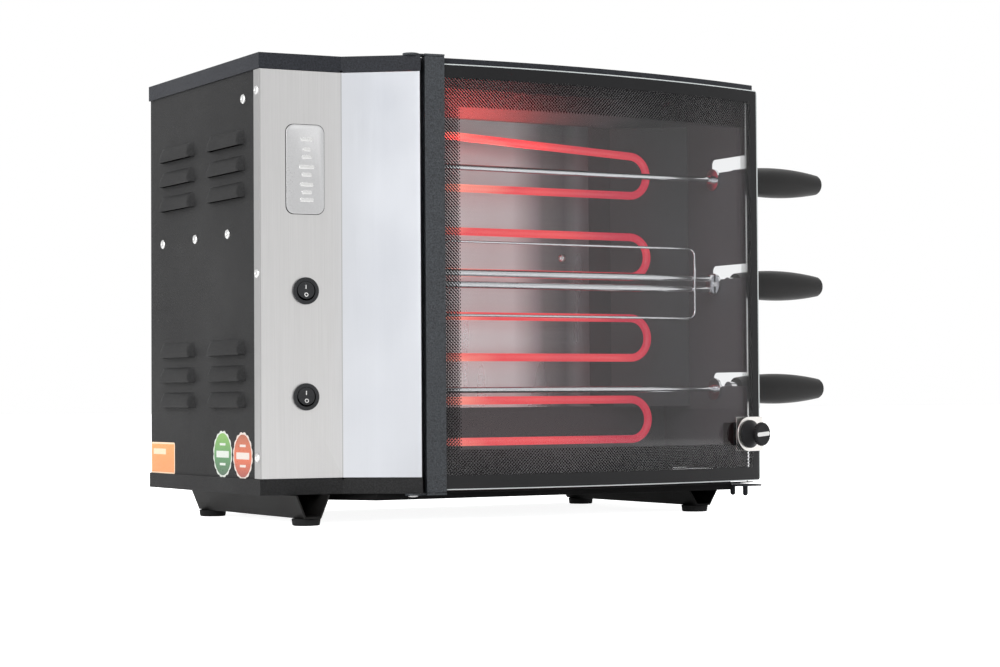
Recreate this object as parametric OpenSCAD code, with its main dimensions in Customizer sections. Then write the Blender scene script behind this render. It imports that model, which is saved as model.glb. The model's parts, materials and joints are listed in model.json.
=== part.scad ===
// Electric skewer grill: a folded-steel cabinet with a drive compartment on the left and a
// cooking chamber on the right, closed by a curved glass door on two pivots.
// Three skewers are turned by a gear train; a drip tray slides out to the right.
//
// Plan coordinates are measured from the cabinet's front left corner, X to the right and
// Y to the back. Z is the height above the table. place() moves the whole grill so that
// the origin is the middle of its bounding box, on the table.

/* [Cabinet] */
// Width of the cabinet over its cover
cabinet_w = 498; // [490:1:520]
// Depth of the left side of the cabinet
side_depth = 249; // [240:1:290]
// Height of the cabinet without its feet
cabinet_h = 374; // [370:1:390]
// Thickness of the painted sheet steel
sheet_t = 1.2; // [0.8:0.1:1.6]
// Height of the cover's skirt and of the lower flange
skirt_h = 13.5; // [10:0.5:20]
// Clearance between sheets that overlap
sheet_gap = 0.2; // [0.1:0.05:0.4]
// Distance of the right wall inside the cover's edge
wall_in = 8; // [5:0.5:10]
// Height of the row of rivets on the left side, as a share of the cabinet's height
side_rivet_share = 0.6; // [0.56:0.01:0.64]
// Diameter of a rivet's head
rivet_d = 8.8; // [6.8:0.2:9.6]
// Distance of the panel's end rivets from its lower and upper edges
panel_rivet_in = 18; // [14:1:24]

/* [Control panel] */
// Width of the panel's left facet, along X
fold_x = 73.6; // [66:0.5:80]
// How far the fold stands in front of the corner
fold_out = 7.8; // [5:0.2:12]
// Distance of the panel's right end from the corner, along X
nose_x = 128.6; // [126:0.2:130]
// How far the panel's right end stands in front of the corner
nose_out = 49.1; // [46:0.2:50]
// Thickness of the stainless panel
panel_t = 1; // [0.6:0.1:1.2]
// Width of the panel's return on the left side
panel_wrap = 12; // [8:0.5:16]
// Width of the badge plate
badge_w = 34; // [28:1:38]
// Height of the badge plate
badge_h = 76; // [60:1:90]
// Distance of the badge plate's middle below the cabinet's top
badge_in = 98; // [80:1:110]
// Distance of the badge and the switches along the panel's left facet
controls_s = 41; // [36:0.5:44]

/* [Switches] */
// Diameter of a switch's bezel
bezel_d = 23; // [22.6:0.1:25]
// Diameter of a switch's barrel
switch_barrel_d = 20; // [19.4:0.1:20.6]
// Diameter of the round rocker
rocker_d = 15; // [13:0.5:15.4]
// Height of the upper switch
upper_switch_z = 198.6; // [180:1:215]
// Height of the lower switch
lower_switch_z = 108.7; // [95:1:125]
// Tilt of a rocker to each side
rocker_tilt = 7; // [4:0.5:9]

/* [Feet] */
// Thickness of a rubber foot
rubber_h = 6; // [4:0.5:8]
// Diameter of a rubber foot
rubber_d = 25; // [18:1:28]
// Height of a foot bracket under the drive compartment
bracket_h = 20; // [18:0.5:26]
// Width of a foot bracket at its top
bracket_top_w = 32; // [28:1:36]
// Width of a foot bracket at its bottom
bracket_low_w = 15; // [12:1:20]
// Distance of the left foot bracket from the corner
left_foot_x = 40; // [30:1:42]
// Distance of the right foot bracket from the cabinet's right edge
right_foot_in = 58; // [50:1:78]
// Distance of the front rubber feet behind the corner
front_foot_y = -5; // [-8:1:10]
// Distance of the rear rubber feet behind the corner
rear_foot_y = 194; // [180:1:215]

/* [Chamber] */
// Depth of the base pan
pan_h = 6; // [5:0.5:8]
// Front edge of the base pan
pan_front_y = -24; // [-26:0.5:-22]
// Distance of the chamber's left wall from the corner
partition_x = 155.4; // [155.2:0.2:157]
// Distance of the chamber's rear wall behind the corner
rear_wall_y = 113.2; // [110:0.5:130]
// Thickness of the polished reflector
reflector_t = 0.8; // [0.5:0.1:1]
// Width of the reflector's angled wing, along X
wing_w = 62; // [50:1:75]
// How far the wing comes forward at the right wall
wing_out = 44; // [30:1:50]
// Height of the reflector's lower edge
reflector_low_z = 98; // [90:1:105]
// Height of the reflector's upper edge
reflector_top_z = 369.5; // [360:0.5:375]

/* [Door] */
// Front of the glass at its left edge, in front of the corner
glass_left_out = 46.8; // [46.4:0.2:48]
// Front of the glass at its right edge, in front of the corner
glass_right_out = 28.7; // [27:0.1:31]
// Distance of the glass's left edge from the corner
glass_left_x = 145; // [144.6:0.1:145.6]
// How far the glass runs past the cabinet's right edge
glass_past_edge = 0.8; // [0.4:0.2:3]
// Height of the glass's bulge over its chord
glass_sagitta = 18.1; // [15:0.1:20]
// Thickness of the glass
glass_t = 5; // [4:0.5:6]
// Height of the glass's lower edge
glass_low_z = 28.2; // [28:0.1:30]
// Distance of the glass's upper edge below the cabinet's top
glass_in = 5.8; // [4.8:0.1:12]
// Gap between the glass and the cover's rim
glass_gap = 1.5; // [1:0.1:2.5]
// Width of the stile that holds the glass
stile_w = 18; // [17:0.1:18.4]
// How far the stile grips the glass
stile_grip = 7; // [6:0.5:8]
// Thickness of the gasket on each side of the glass
gasket_t = 0.8; // [0.6:0.1:1]
// Distance of the pivot from the stile's left edge
pivot_in = 6; // [5.5:0.1:6.5]
// Diameter of the pivot pins
pivot_d = 4; // [3:0.1:4.4]
// Thickness of the hinge plates
hinge_t = 1.8; // [1.2:0.1:1.9]

/* [Door knob] */
// Distance of the knob from the glass's right edge, along X
knob_in = 16.8; // [14:0.2:20]
// Height of the knob
knob_z = 71.7; // [65:0.5:80]
// Height of the metal clip around the glass's edge
clip_h = 32; // [28:1:36]
// Diameter of the conical base
knob_base_d = 26; // [22:1:28]
// Diameter of the knob
knob_d = 22; // [18:1:24]
// Length of the conical base
knob_base_h = 13; // [10:0.5:16]
// Thickness of the knob
knob_h = 4.5; // [4:0.5:8]

/* [Skewers] */
// Distance between the skewers, a whole number of gear meshes
skewer_pitch = 100; // [100:1:100]
// Height of the lowest skewer
low_skewer_z = 114; // [112:0.5:116]
// Distance of the skewers behind the corner
skewer_y = 25; // [22:0.5:27]
// Diameter of a skewer rod
rod_d = 5.5; // [4.5:0.1:6]
// Diameter of each rod of the double skewer
twin_rod_d = 6.5; // [5:0.1:6.8]
// Distance between the two rods of the double skewer
twin_gap = 10.5; // [10:0.5:12]
// Diameter of the sleeve that runs in the right wall's notch
sleeve_d = 8; // [7.6:0.1:8.6]
// Side of the skewer's square tip
tip_side = 6; // [5:0.1:6.4]
// Clearance of the tip in its socket, on each side
tip_gap = 0.3; // [0.1:0.05:0.4]
// Distance from the right wall to the handle
handle_gap = 22; // [18:1:26]
// Length of a handle
handle_l = 101; // [90:1:120]
// Diameter of a handle at its inner end
handle_end_d = 22; // [20:0.5:25]
// Diameter of a handle at its free end
handle_tail_d = 18; // [16:0.5:20]
// Diameter of a handle at its thickest
handle_mid_d = 29; // [27:0.5:32]
// Width of the wire basket across the skewer
basket_w = 66; // [50:1:72]
// Diameter of the basket's wire
basket_wire_d = 2.4; // [2:0.1:3]
// Diameter of the disc that stops a skewer at the right wall
stop_disc_d = 21; // [17:0.5:24]

/* [Right wall slots] */
// Height of a slot where the skewer is passed in
slot_h = 13; // [10:0.5:15]
// Height of the top slot's lower edge over its skewer's axis
slot_lift = 6.5; // [6:0.5:8]
// How much lower each slot's edge sits than that of the slot above
slot_drop = 2; // [0:0.5:2]
// Radius of a slot's rear upper corner
slot_r = 5; // [3:0.5:6]

/* [Heaters] */
// Diameter of a heater tube
heater_d = 7.5; // [6.5:0.5:8.5]
// Distance between the two legs of a heater
heater_pitch = 38; // [36:0.5:39]
// Distance of the heaters behind the corner
heater_y = 75; // [73:0.5:78]
// Distance of the heaters' bends from the right wall
heater_in = 42.6; // [38:0.2:60]
// Height of the lower leg of the lowest heater
heater_low_z = 66.5; // [64:0.5:69]
// Distance from one heater to the next
heater_step = 78; // [76:0.5:79]
// Rise of the top heater's upper leg towards the left wall
heater_splay = 14; // [8:0.5:16]
// Diameter of a heater's ceramic insulator
insulator_d = 14; // [12:0.5:16]
// Length of a heater's insulator
insulator_l = 12; // [8:0.5:14]
// Length of a heater's terminal blade
terminal_l = 12; // [8:0.5:14]
// Width of a heater's terminal blade
terminal_w = 6; // [4.8:0.1:6.4]

/* [Gear train] */
// Teeth of the skewer gears and idlers
gear_teeth = 25; // [25:2:25]
// Teeth of the motor pinion
pinion_teeth = 20; // [20:4:20]
// Width of the gears
gear_w = 8; // [6:0.5:10]
// Backlash of each tooth
backlash = 0.35; // [0.2:0.05:0.5]
// Diameter of the gear shafts
shaft_d = 8; // [6:0.5:9]
// Radial clearance of shafts and pins in their bores
run_gap = 0.05; // [0.02:0.01:0.09]
// Left face of the gear plate
gear_plate_x = 118; // [114:0.5:120]
// Thickness of the gear plate
gear_plate_t = 2; // [1.5:0.5:3]
// Diameter of the gear motor
motor_d = 56; // [50:1:60]
// Length of the gear motor
motor_l = 42; // [35:1:50]
// How far the gear plate reaches in front of the skewers and behind them
plate_reach = 42; // [40:1:46]

/* [Wiring] */
// Distance of the cord's gland from the left side
gland_x = 40; // [34:1:60]
// Height of the cord's gland
gland_z = 70; // [60:1:90]
// Distance of the terminal block in front of the back panel
block_in = 51; // [45:1:60]

/* [Drip tray] */
// Distance of the tray's end from the right wall
tray_in = 20.6; // [19.6:0.2:40]
// Width of the tray
tray_w = 122; // [110:1:123]
// Depth of the tray
tray_h = 14; // [10:0.5:15]
// Thickness of the tray's sheet
tray_t = 1; // [0.8:0.1:1.2]
// Distance that the tray slides out
tray_travel = 240; // [150:5:250]

/* [Side louvres] */
// Length of a louvre
louvre_l = 76; // [60:1:80]
// Distance between louvres, up the wall
louvre_pitch = 22.6; // [20:0.2:26]
// Height of a louvre
louvre_h = 12; // [9:0.5:15]
// How far a louvre bulges out
louvre_out = 5; // [3:0.5:6]
// Height of the lowest louvre of the lower group
low_louvre_z = 100; // [80:1:110]
// Height of the lowest louvre of the upper group
high_louvre_z = 280; // [265:1:290]

/* [Hidden] */
$fn = 64;
eps = 0.01;
far = 2000;

// Heights
floor_z = rubber_h + bracket_h;
top_z = floor_z + cabinet_h;
badge_z = top_z - badge_in;
glass_h = top_z - glass_in - glass_low_z;
pan_z = floor_z - pan_h;
panel_low_z = floor_z + skirt_h + sheet_gap;
panel_top_z = top_z - skirt_h - sheet_gap;
middle_skewer_z = low_skewer_z + skewer_pitch;
top_skewer_z = middle_skewer_z + skewer_pitch;
skewer_zs = [low_skewer_z, middle_skewer_z, top_skewer_z];

// Offsets of the layers behind the skirts' outer face
panel_o = sheet_gap * 2;
wall_o = panel_o + panel_t;

// Glass arc through its two edges
glass_right_x = cabinet_w + glass_past_edge;
chord = [glass_right_x - glass_left_x, glass_left_out - glass_right_out];
half_chord = norm(chord) / 2;
glass_r = (half_chord * half_chord + glass_sagitta * glass_sagitta) / (2 * glass_sagitta);
chord_turn = atan2(chord[1], chord[0]);
arc_x = (glass_left_x + glass_right_x) / 2 - (glass_r - glass_sagitta) * sin(chord_turn);
arc_y = -(glass_left_out + glass_right_out) / 2 + (glass_r - glass_sagitta) * cos(chord_turn);
rim_r = glass_r - glass_t - glass_gap;
stile_turn = asin((glass_left_x - arc_x) / glass_r);
knob_turn = asin((glass_right_x - knob_in - arc_x) / glass_r);

// Plan of the cabinet
notch_y = -33.5;
notch_x = nose_x + 2;
rim_left_x = partition_x - sheet_t - sheet_gap;
cabinet_plan = [
    [0, side_depth],
    [0, 0],
    [fold_x, -fold_out],
    [nose_x, -nose_out],
    [notch_x, notch_y],
    [rim_left_x + 6, notch_y],
    [rim_left_x + 6, notch_y + skirt_h],
    [cabinet_w, notch_y + skirt_h],
    [cabinet_w, side_depth],
];

// Door stile, in its own frame on the glass's left edge
stile_t = sheet_t;
stile_front = -gasket_t - stile_t;
stile_back = glass_t + gasket_t + stile_t;
pivot_x = stile_grip - stile_w + pivot_in;
pivot_y = (stile_front + stile_back) / 2;
hinge_gap = 0.3;
stile_low_z = floor_z + hinge_gap;
stile_top_z = top_z - hinge_gap;
bush_h = 8;

// Knob
clip_t = 1.2;
clip_seat = 0.3;
knob_chamfer = 1.5;
knob_front = clip_t + clip_seat + knob_base_h + knob_h;
plate_screw_in = 17;

// Gear train
gear_module = skewer_pitch / (2 * gear_teeth);
pinion_drop = gear_module * (gear_teeth + pinion_teeth) / 2;
gear_stand = 12;
gear_x = gear_plate_x + gear_plate_t + gear_stand;
collar_d = shaft_d + 4;
bush_x = partition_x - 5.4;
bush_l = 11;
socket_x = bush_x + bush_l + 0.3;
socket_l = 18;
socket_d = 16;
hub_gap = 0.3;

// Skewers
tip_x = socket_x + 3;
wall_x = cabinet_w - wall_o - wall_in;
handle_x = wall_x + handle_gap;
handle_end_x = handle_x + handle_l;
slot_gap = 0.5;

// Right side of the base, where the tray comes out
tray_x = partition_x + sheet_t + 1.4;
tray_end_x = wall_x - tray_in;
rail_t = 1;
tray_gap = 0.3;
tray_front_y = pan_front_y + sheet_t + rail_t + tray_gap;
tray_back_y = tray_front_y + tray_w;
pan_end_x = tray_end_x + 1;
tray_door_h = tray_h + 3;

right_foot_x = cabinet_w - right_foot_in;

// Louvre columns, from the front
louvre_ys = [33, 143];

// Outer size of the grill, which sets the origin
gland_out = 3;
left_end = wall_o - louvre_out;
knob_end = glass_at(knob_turn)[1] - knob_front * cos(knob_turn)
    - (knob_d / 2 - knob_chamfer) * sin(abs(knob_turn));
front_end = min(knob_end, arc_y - glass_r);
origin = [(left_end + handle_end_x) / 2, (front_end + side_depth + gland_out) / 2];

echo(origin = origin, front_end = front_end, glass_r = glass_r, stile_turn = stile_turn);
echo(arc = [arc_x, arc_y], pivot = stile_point(pivot_x, pivot_y), knob_turn = knob_turn);

// ---------------------------------------------------------------- helpers

function unit(v) = v / norm(v);
function left_of(v) = [-v[1], v[0]];

// Corner b of a path through a, b, c, moved d to the left of the path
function moved_corner(a, b, c, d) = let (
    n = left_of(unit(b - a)),
    m = left_of(unit(c - b))
) b + d * (n + m) / (1 + n * m);

// A closed outline, moved inwards by d
function inset(p, d) = [
    for (i = [0 : len(p) - 1])
        moved_corner(p[(i + len(p) - 1) % len(p)], p[i], p[(i + 1) % len(p)], d)
];

// An open path, moved to its left by d
function moved_path(p, d) = [
    for (i = [0 : len(p) - 1])
        i == 0 ? p[0] + d * left_of(unit(p[1] - p[0]))
        : i == len(p) - 1 ? p[i] + d * left_of(unit(p[i] - p[i - 1]))
        : moved_corner(p[i - 1], p[i], p[i + 1], d)
];

function reversed(p) = [for (i = [len(p) - 1 : -1 : 0]) p[i]];

// A strip of sheet of thickness t along a path, moved d to its left
function strip(p, d, t) = concat(moved_path(p, d), reversed(moved_path(p, d + t)));

// Point of the glass's front face where its normal is turned by a
function glass_at(a) = [arc_x + glass_r * sin(a), arc_y - glass_r * cos(a)];

// Point of the stile's frame in plan
function stile_point(x, y) = glass_at(stile_turn)
    + [x * cos(stile_turn) - y * sin(stile_turn), x * sin(stile_turn) + y * cos(stile_turn)];

module place() {
    translate([-origin[0], -origin[1], 0]) children();
}

// Plate between two heights from a closed outline
module slab(p, low, high) {
    translate([0, 0, low]) linear_extrude(high - low) polygon(p);
}

// Box between two corners
module block(a, b) {
    translate(a) cube(b - a);
}

// Cylinder along X
module bar_x(r, a, b, y, z) {
    translate([a, y, z]) rotate([0, 90, 0]) cylinder(r = r, h = b - a);
}

// Cylinder along Y
module bar_y(r, a, b, x, z) {
    translate([x, a, z]) rotate([-90, 0, 0]) cylinder(r = r, h = b - a);
}

// Everything inside the cabinet's outline moved in by d
module cabinet_solid(d, low, high) {
    slab(inset(cabinet_plan, d), low, high);
    intersection() {
        translate([arc_x, arc_y, low]) cylinder(r = rim_r - d, h = high - low, $fn = 256);
        block([rim_left_x + d, -far, low], [cabinet_w - d, notch_y + skirt_h + 2 * d + 1, high]);
    }
}

// Frame on the control panel's left facet, X along it and Y into the cabinet
module on_facet(z) {
    facet_turn = -atan2(fold_out, fold_x);
    rotate([0, 0, facet_turn]) translate([controls_s, panel_o, z]) children();
}

module stile_frame() {
    p = glass_at(stile_turn);
    translate([p[0], p[1], 0]) rotate([0, 0, stile_turn]) children();
}

module knob_frame() {
    p = glass_at(knob_turn);
    translate([p[0], p[1], knob_z]) rotate([0, 0, knob_turn]) children();
}

// Low rounded head of radius r, its flat face at the origin, pointing along -Y
module dome_head(r, h) {
    steps = [[1, 0], [1, 0.3], [0.78, 0.76], [0.4, 1]];
    rotate([90, 0, 0]) for (i = [0 : len(steps) - 2])
        translate([0, 0, h * steps[i][1]])
            cylinder(r1 = r * steps[i][0], r2 = r * steps[i + 1][0],
                h = h * (steps[i + 1][1] - steps[i][1]));
}

// ---------------------------------------------------------------- cabinet

// Pressed louvre along Y, open below, reaching deep into the wall; d moves its skin inwards
module louvre_body(d, deep) {
    out = louvre_out - d;
    high = louvre_h - d;
    bulge = [
        [deep, 0], [-out, 0], [-out * 0.92, high * 0.35],
        [-out * 0.6, high * 0.72], [0, high], [deep, high],
    ];
    translate([wall_o, d, 0]) rotate([90, 0, 0]) mirror([0, 0, 1])
        linear_extrude(louvre_l - 2 * d) polygon(bulge);
}

module each_louvre() {
    for (y = louvre_ys, z = [low_louvre_z, high_louvre_z], i = [0 : 2])
        translate([0, y, z + i * louvre_pitch]) children();
}

module left_side_panel() {
    color("#3f3f40") place() difference() {
        union() {
            block([wall_o, wall_o, floor_z + sheet_t],
                [wall_o + sheet_t, side_depth - wall_o, top_z - sheet_t - sheet_gap]);
            each_louvre() louvre_body(0, sheet_t);
        }
        each_louvre() translate([0, 0, -eps]) louvre_body(sheet_t, sheet_t + 1);
    }
}

module back_panel() {
    color("#3c3c3d") place() difference() {
        block([wall_o + sheet_t + sheet_gap, side_depth - wall_o - sheet_t, floor_z + sheet_t],
            [cabinet_w - wall_o - sheet_t - sheet_gap, side_depth - wall_o,
             top_z - sheet_t - sheet_gap]);
        bar_y(gland_r, side_depth - 10, side_depth, gland_x, gland_z);
    }
}

module top_cover() {
    color("#434345") place() difference() {
        cabinet_solid(0, top_z - skirt_h, top_z);
        cabinet_solid(sheet_t - sheet_gap, top_z - skirt_h - 1, top_z - sheet_t);
        // relief notch where the skirt folds
        translate([fold_x, -fold_out, top_z - skirt_h]) sphere(r = 1.5);
    }
}

module compartment_floor() {
    floor_end_x = rim_left_x - 4;
    plan = [
        [0, side_depth], [0, 0], [fold_x, -fold_out], [nose_x, -nose_out],
        [notch_x, notch_y], [floor_end_x, notch_y], [floor_end_x, side_depth],
    ];
    open_plan = [
        [0, side_depth], [0, 0], [fold_x, -fold_out], [nose_x, -nose_out],
        [notch_x, notch_y], [floor_end_x + 10, notch_y], [floor_end_x + 10, side_depth],
    ];
    color("#434345") place() difference() {
        slab(plan, floor_z, floor_z + skirt_h);
        slab(inset(open_plan, sheet_t - sheet_gap), floor_z + sheet_t, floor_z + far);
        translate([fold_x, -fold_out, floor_z + skirt_h]) sphere(r = 1.5);
    }
}

module base_pan() {
    pan_back_y = side_depth - 6;
    step_y = tray_back_y + 2.4;
    plan = [
        [left_foot_x + bracket_top_w / 2 + 6, pan_back_y],
        [left_foot_x + bracket_top_w / 2 + 6, 30],
        [fold_x + 24, pan_front_y],
        [pan_end_x, pan_front_y],
        [pan_end_x, step_y],
        [cabinet_w - wall_o, step_y],
        [cabinet_w - wall_o, pan_back_y],
    ];
    color("#2f2f30") place() {
        difference() {
            slab(plan, pan_z, floor_z);
            slab(inset(plan, sheet_t), pan_z + sheet_t, floor_z + 1);
            block([pan_end_x - 3, pan_front_y + sheet_t, pan_z + sheet_t],
                [pan_end_x + 1, step_y - sheet_t, floor_z + 1]);
        }
        // sill under the glass
        intersection() {
            translate([arc_x, arc_y, floor_z]) cylinder(r = rim_r, h = sheet_t, $fn = 256);
            block([rim_left_x, -far, floor_z], [cabinet_w, pan_front_y + sheet_t, far]);
        }
    }
}

function slot_low(i) = skewer_zs[i] + slot_lift - (len(skewer_zs) - 1 - i) * slot_drop;

// Slot that lets skewer i in from the front and down into its notch
module skewer_slot(i) {
    seat_r = sleeve_d / 2 + slot_gap;
    z = skewer_zs[i];
    low = slot_low(i);
    high = low + slot_h;
    rear_y = skewer_y + seat_r;
    x0 = wall_x - sheet_t - 1;
    x1 = wall_x + 1;
    block([x0, -far, low], [x1, rear_y - slot_r, high]);
    block([x0, rear_y - slot_r - 1, low], [x1, rear_y, high - slot_r]);
    bar_x(slot_r, x0, x1, rear_y - slot_r, high - slot_r);
    block([x0, skewer_y - seat_r, z], [x1, rear_y, low + 1]);
    bar_x(seat_r, x0, x1, skewer_y, z);
}

module right_wall() {
    front_y = arc_y - sqrt(pow(rim_r - sheet_t, 2) - pow(wall_x - arc_x, 2)) + sheet_gap;
    color("#4a4a4c") place() difference() {
        block([wall_x - sheet_t, front_y, floor_z + sheet_t],
            [wall_x, side_depth - wall_o - sheet_t - sheet_gap, top_z - sheet_t - sheet_gap]);
        for (i = [0 : len(skewer_zs) - 1])
            skewer_slot(i);
        block([0, pan_front_y + sheet_t, 0],
            [far, tray_back_y + 1.2, pan_z + sheet_t + tray_door_h]);
    }
}

module chamber_partition() {
    x0 = partition_x;
    x1 = x0 + sheet_t;
    color("#57575a") place() difference() {
        union() {
            block([x0, notch_y - 7, floor_z + sheet_t],
                [x1, side_depth - wall_o - sheet_t - sheet_gap, top_z - sheet_t - sheet_gap]);
            // front return behind the stile
            block([notch_x + 3, notch_y + wall_o, floor_z + sheet_t],
                [x1, notch_y + wall_o + sheet_t, top_z - sheet_t - sheet_gap]);
        }
        for (z = skewer_zs)
            bar_x(bush_barrel_d / 2, x0 - 1, x1 + 1, skewer_y, z);
        each_heater_leg() bar_x(insulator_d / 2, x0 - 1, x1 + 1, 0, 0);
    }
}

module chamber_rear_wall() {
    color("#4f4f52") place()
        block([partition_x + sheet_t + sheet_gap, rear_wall_y, pan_z + sheet_t],
            [wall_x - sheet_t - sheet_gap, rear_wall_y + sheet_t, top_z - sheet_t - sheet_gap]);
}

module rear_reflector() {
    left_x = partition_x + sheet_t + sheet_gap;
    right_x = wall_x - sheet_t - sheet_gap;
    path = [
        [right_x, rear_wall_y - wing_out],
        [right_x - wing_w, rear_wall_y],
        [left_x, rear_wall_y],
    ];
    lip = 6;
    color("#c9c9cb") place() difference() {
        union() {
            slab(strip(path, 0, reflector_t), reflector_low_z, reflector_top_z);
            slab(strip(path, 0, lip), reflector_low_z, reflector_low_z + reflector_t);
        }
        block([right_x, -far, 0], [far, far, far]);
    }
}

module reflector_screw() {
    color("#b5b5b8") place()
        translate([reflector_screw_x, rear_wall_y - reflector_t, reflector_screw_z])
            dome_head(4, 2.2);
}

// ---------------------------------------------------------------- control panel

module control_panel() {
    path = [
        [0, panel_wrap], [0, 0], [fold_x, -fold_out], [nose_x, -nose_out],
        [notch_x, notch_y],
    ];
    color("#cfcdcb") place() difference() {
        slab(strip(path, panel_o, panel_t), panel_low_z, panel_top_z);
        for (z = [upper_switch_z, lower_switch_z])
            on_facet(z) bar_y(switch_barrel_d / 2 + 0.1, -5, 5, 0, 0);
    }
}

// Rectangle with rounded corners, standing in the XZ plane and pushed back along Y
module round_plate(w, h, r, y0, y1) {
    for (x = [r - w / 2, w / 2 - r], z = [r - h / 2, h / 2 - r])
        bar_y(r, y0, y1, x, z);
    block([-w / 2, y0, r - h / 2], [w / 2, y1, h / 2 - r]);
    block([r - w / 2, y0, -h / 2], [w / 2 - r, y1, h / 2]);
}

module badge_plate() {
    rim = 2;
    color("#d4d3d2") place() on_facet(badge_z) difference() {
        round_plate(badge_w, badge_h, 7, -1.2, 0);
        round_plate(badge_w - 2 * rim, badge_h - 2 * rim, 7 - rim, -2, -0.7);
    }
}

// Rivet through the left side at height z
module rivet(x, y, z, d) {
    translate([x, y, z]) rotate([0, 0, -90]) dome_head(d / 2, d * 0.2);
}

module side_rivets() {
    row_z = floor_z + cabinet_h * side_rivet_share;
    corner_drop = cabinet_h * 0.096;
    color("#e8e8e6") place() {
        for (share = [0.277, 0.566, 0.8715])
            rivet(wall_o, side_depth * share, row_z, rivet_d);
        rivet(wall_o, side_depth * 0.14, top_z - corner_drop, rivet_d);
    }
}

module panel_rivets() {
    low = panel_low_z + panel_rivet_in;
    high = panel_top_z - panel_rivet_in;
    color("#d9d9d7") place()
        for (z = [low, (low + high) / 2, high])
            rivet(panel_o, panel_wrap * 0.45, z, rivet_d - 0.8);
}

// Round switch housing with a bezel in front of the panel
module switch_body(z) {
    depth = 22;
    bore_r = rocker_d / 2 + 0.9;
    color("#222223") place() on_facet(z) difference() {
        union() {
            bar_y(bezel_d / 2, -2, 0, 0, 0);
            bar_y(switch_barrel_d / 2, -eps, depth, 0, 0);
            for (x = [-5, 5])
                block([x - 0.4, depth - 1, -3], [x + 0.4, depth + 8, 3]);
        }
        bar_y(bore_r, -3, rocker_depth + 3, 0, 0);
        bar_x(rocker_pin_d / 2 + run_gap, -switch_barrel_d / 2 + 0.6,
            switch_barrel_d / 2 - 0.6, rocker_pivot_y, 0);
    }
}

rocker_pin_d = 2.4;
rocker_pivot_y = 3;
rocker_depth = 4.6;

// Round rocker in its switched-on tilt, on a pin along the facet
module rocker(z) {
    color("#1b1b1c") place() on_facet(z) {
        translate([0, rocker_pivot_y, 0]) rotate([-rocker_tilt, 0, 0])
            intersection() {
                bar_y(rocker_d / 2, -far, far, 0, 0);
                for (side = [0, 1]) mirror([0, 0, side]) difference() {
                    block([-far, -5.6, -eps], [far, rocker_depth - rocker_pivot_y, far]);
                    rotate([rocker_tilt, 0, 0]) block([-far, -far, -far], [far, -4.6, far]);
                }
            }
        bar_x(rocker_pin_d / 2, -switch_barrel_d / 2 + 0.9, switch_barrel_d / 2 - 0.9,
            rocker_pivot_y, 0);
    }
}

module upper_switch_body() { switch_body(upper_switch_z); }
module lower_switch_body() { switch_body(lower_switch_z); }
module upper_rocker() { rocker(upper_switch_z); }
module lower_rocker() { rocker(lower_switch_z); }

// ---------------------------------------------------------------- feet

// Folded channel along Y, open at the top
module foot_bracket(x, high) {
    t = 1.6;
    h = high - rubber_h;
    outer = [
        [-bracket_top_w / 2, h], [-bracket_low_w / 2, 0],
        [bracket_low_w / 2, 0], [bracket_top_w / 2, h],
    ];
    inner = [
        [-bracket_top_w / 2 + t, h + eps], [-bracket_low_w / 2 + t * 0.6, t],
        [bracket_low_w / 2 - t * 0.6, t], [bracket_top_w / 2 - t, h + eps],
    ];
    front = front_foot_y - rubber_d / 2 - 2;
    back = rear_foot_y + rubber_d / 2 + 2;
    color("#39383a") place() translate([x, back, rubber_h]) rotate([90, 0, 0])
        linear_extrude(back - front) difference() {
            polygon(outer);
            polygon(inner);
        }
}

module left_foot_bracket() { foot_bracket(left_foot_x, floor_z); }
module right_foot_bracket() { foot_bracket(right_foot_x, pan_z); }

module rubber_feet() {
    color("#1c1c1c") place()
        for (x = [left_foot_x, right_foot_x], y = [front_foot_y, rear_foot_y])
            translate([x, y, 0])
                cylinder(r1 = rubber_d / 2 - 1, r2 = rubber_d / 2, h = rubber_h);
}

// ---------------------------------------------------------------- hinge

module hinge_plate(low) {
    high = low + hinge_t;
    pivot = stile_point(pivot_x, pivot_y);
    difference() {
        union() {
            translate([hinge_screw_at[0], hinge_screw_at[1], low]) cylinder(r = 7, h = hinge_t);
            stile_frame() block([pivot_x - plate_screw_in, stile_front + 2.4, low],
                [0, stile_back, high]);
            stile_frame() block([stile_grip - stile_w, stile_front, low],
                [stile_grip, stile_back, high]);
        }
        translate([pivot[0], pivot[1], low - 1]) cylinder(d = pivot_d, h = hinge_t + 2);
    }
}

hinge_screw_at = stile_point(pivot_x - plate_screw_in, stile_back - 4);

module hinge_plates() {
    color("#46494e") place() {
        hinge_plate(top_z);
        hinge_plate(floor_z - hinge_t);
    }
}

module hinge_pins() {
    color("#8d8d90") place() stile_frame() translate([pivot_x, pivot_y, 0]) {
        translate([0, 0, stile_top_z - bush_h + 1])
            cylinder(d = pivot_d, h = top_z + hinge_t - stile_top_z + bush_h - 1);
        translate([0, 0, floor_z - hinge_t])
            cylinder(d = pivot_d, h = hinge_t + hinge_gap + bush_h - 1);
    }
}

module hinge_screws() {
    color("#dcdcda") place() translate([hinge_screw_at[0], hinge_screw_at[1], 0]) {
        translate([0, 0, top_z + hinge_t]) rotate([-90, 0, 0]) dome_head(4, 1);
        translate([0, 0, floor_z - hinge_t]) rotate([90, 0, 0]) dome_head(4.6, 1.4);
    }
}

module door_magnet() {
    color("#2a2a2b") place() knob_frame()
        block([-12, glass_t + clip_seat + clip_t + 0.3, -11],
            [wall_side_of_magnet, glass_t + clip_seat + clip_t + 14, 11]);
}

wall_side_of_magnet = 5;

// ---------------------------------------------------------------- heaters

heater_left_x = partition_x - 9;

function heater_z(i) = heater_low_z + i * heater_step;
heater_r = heater_pitch / 2;
bend_x = wall_x - heater_in - heater_d / 2 - heater_r;
splay_turn = atan2(heater_splay, bend_x - heater_left_x);

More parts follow.
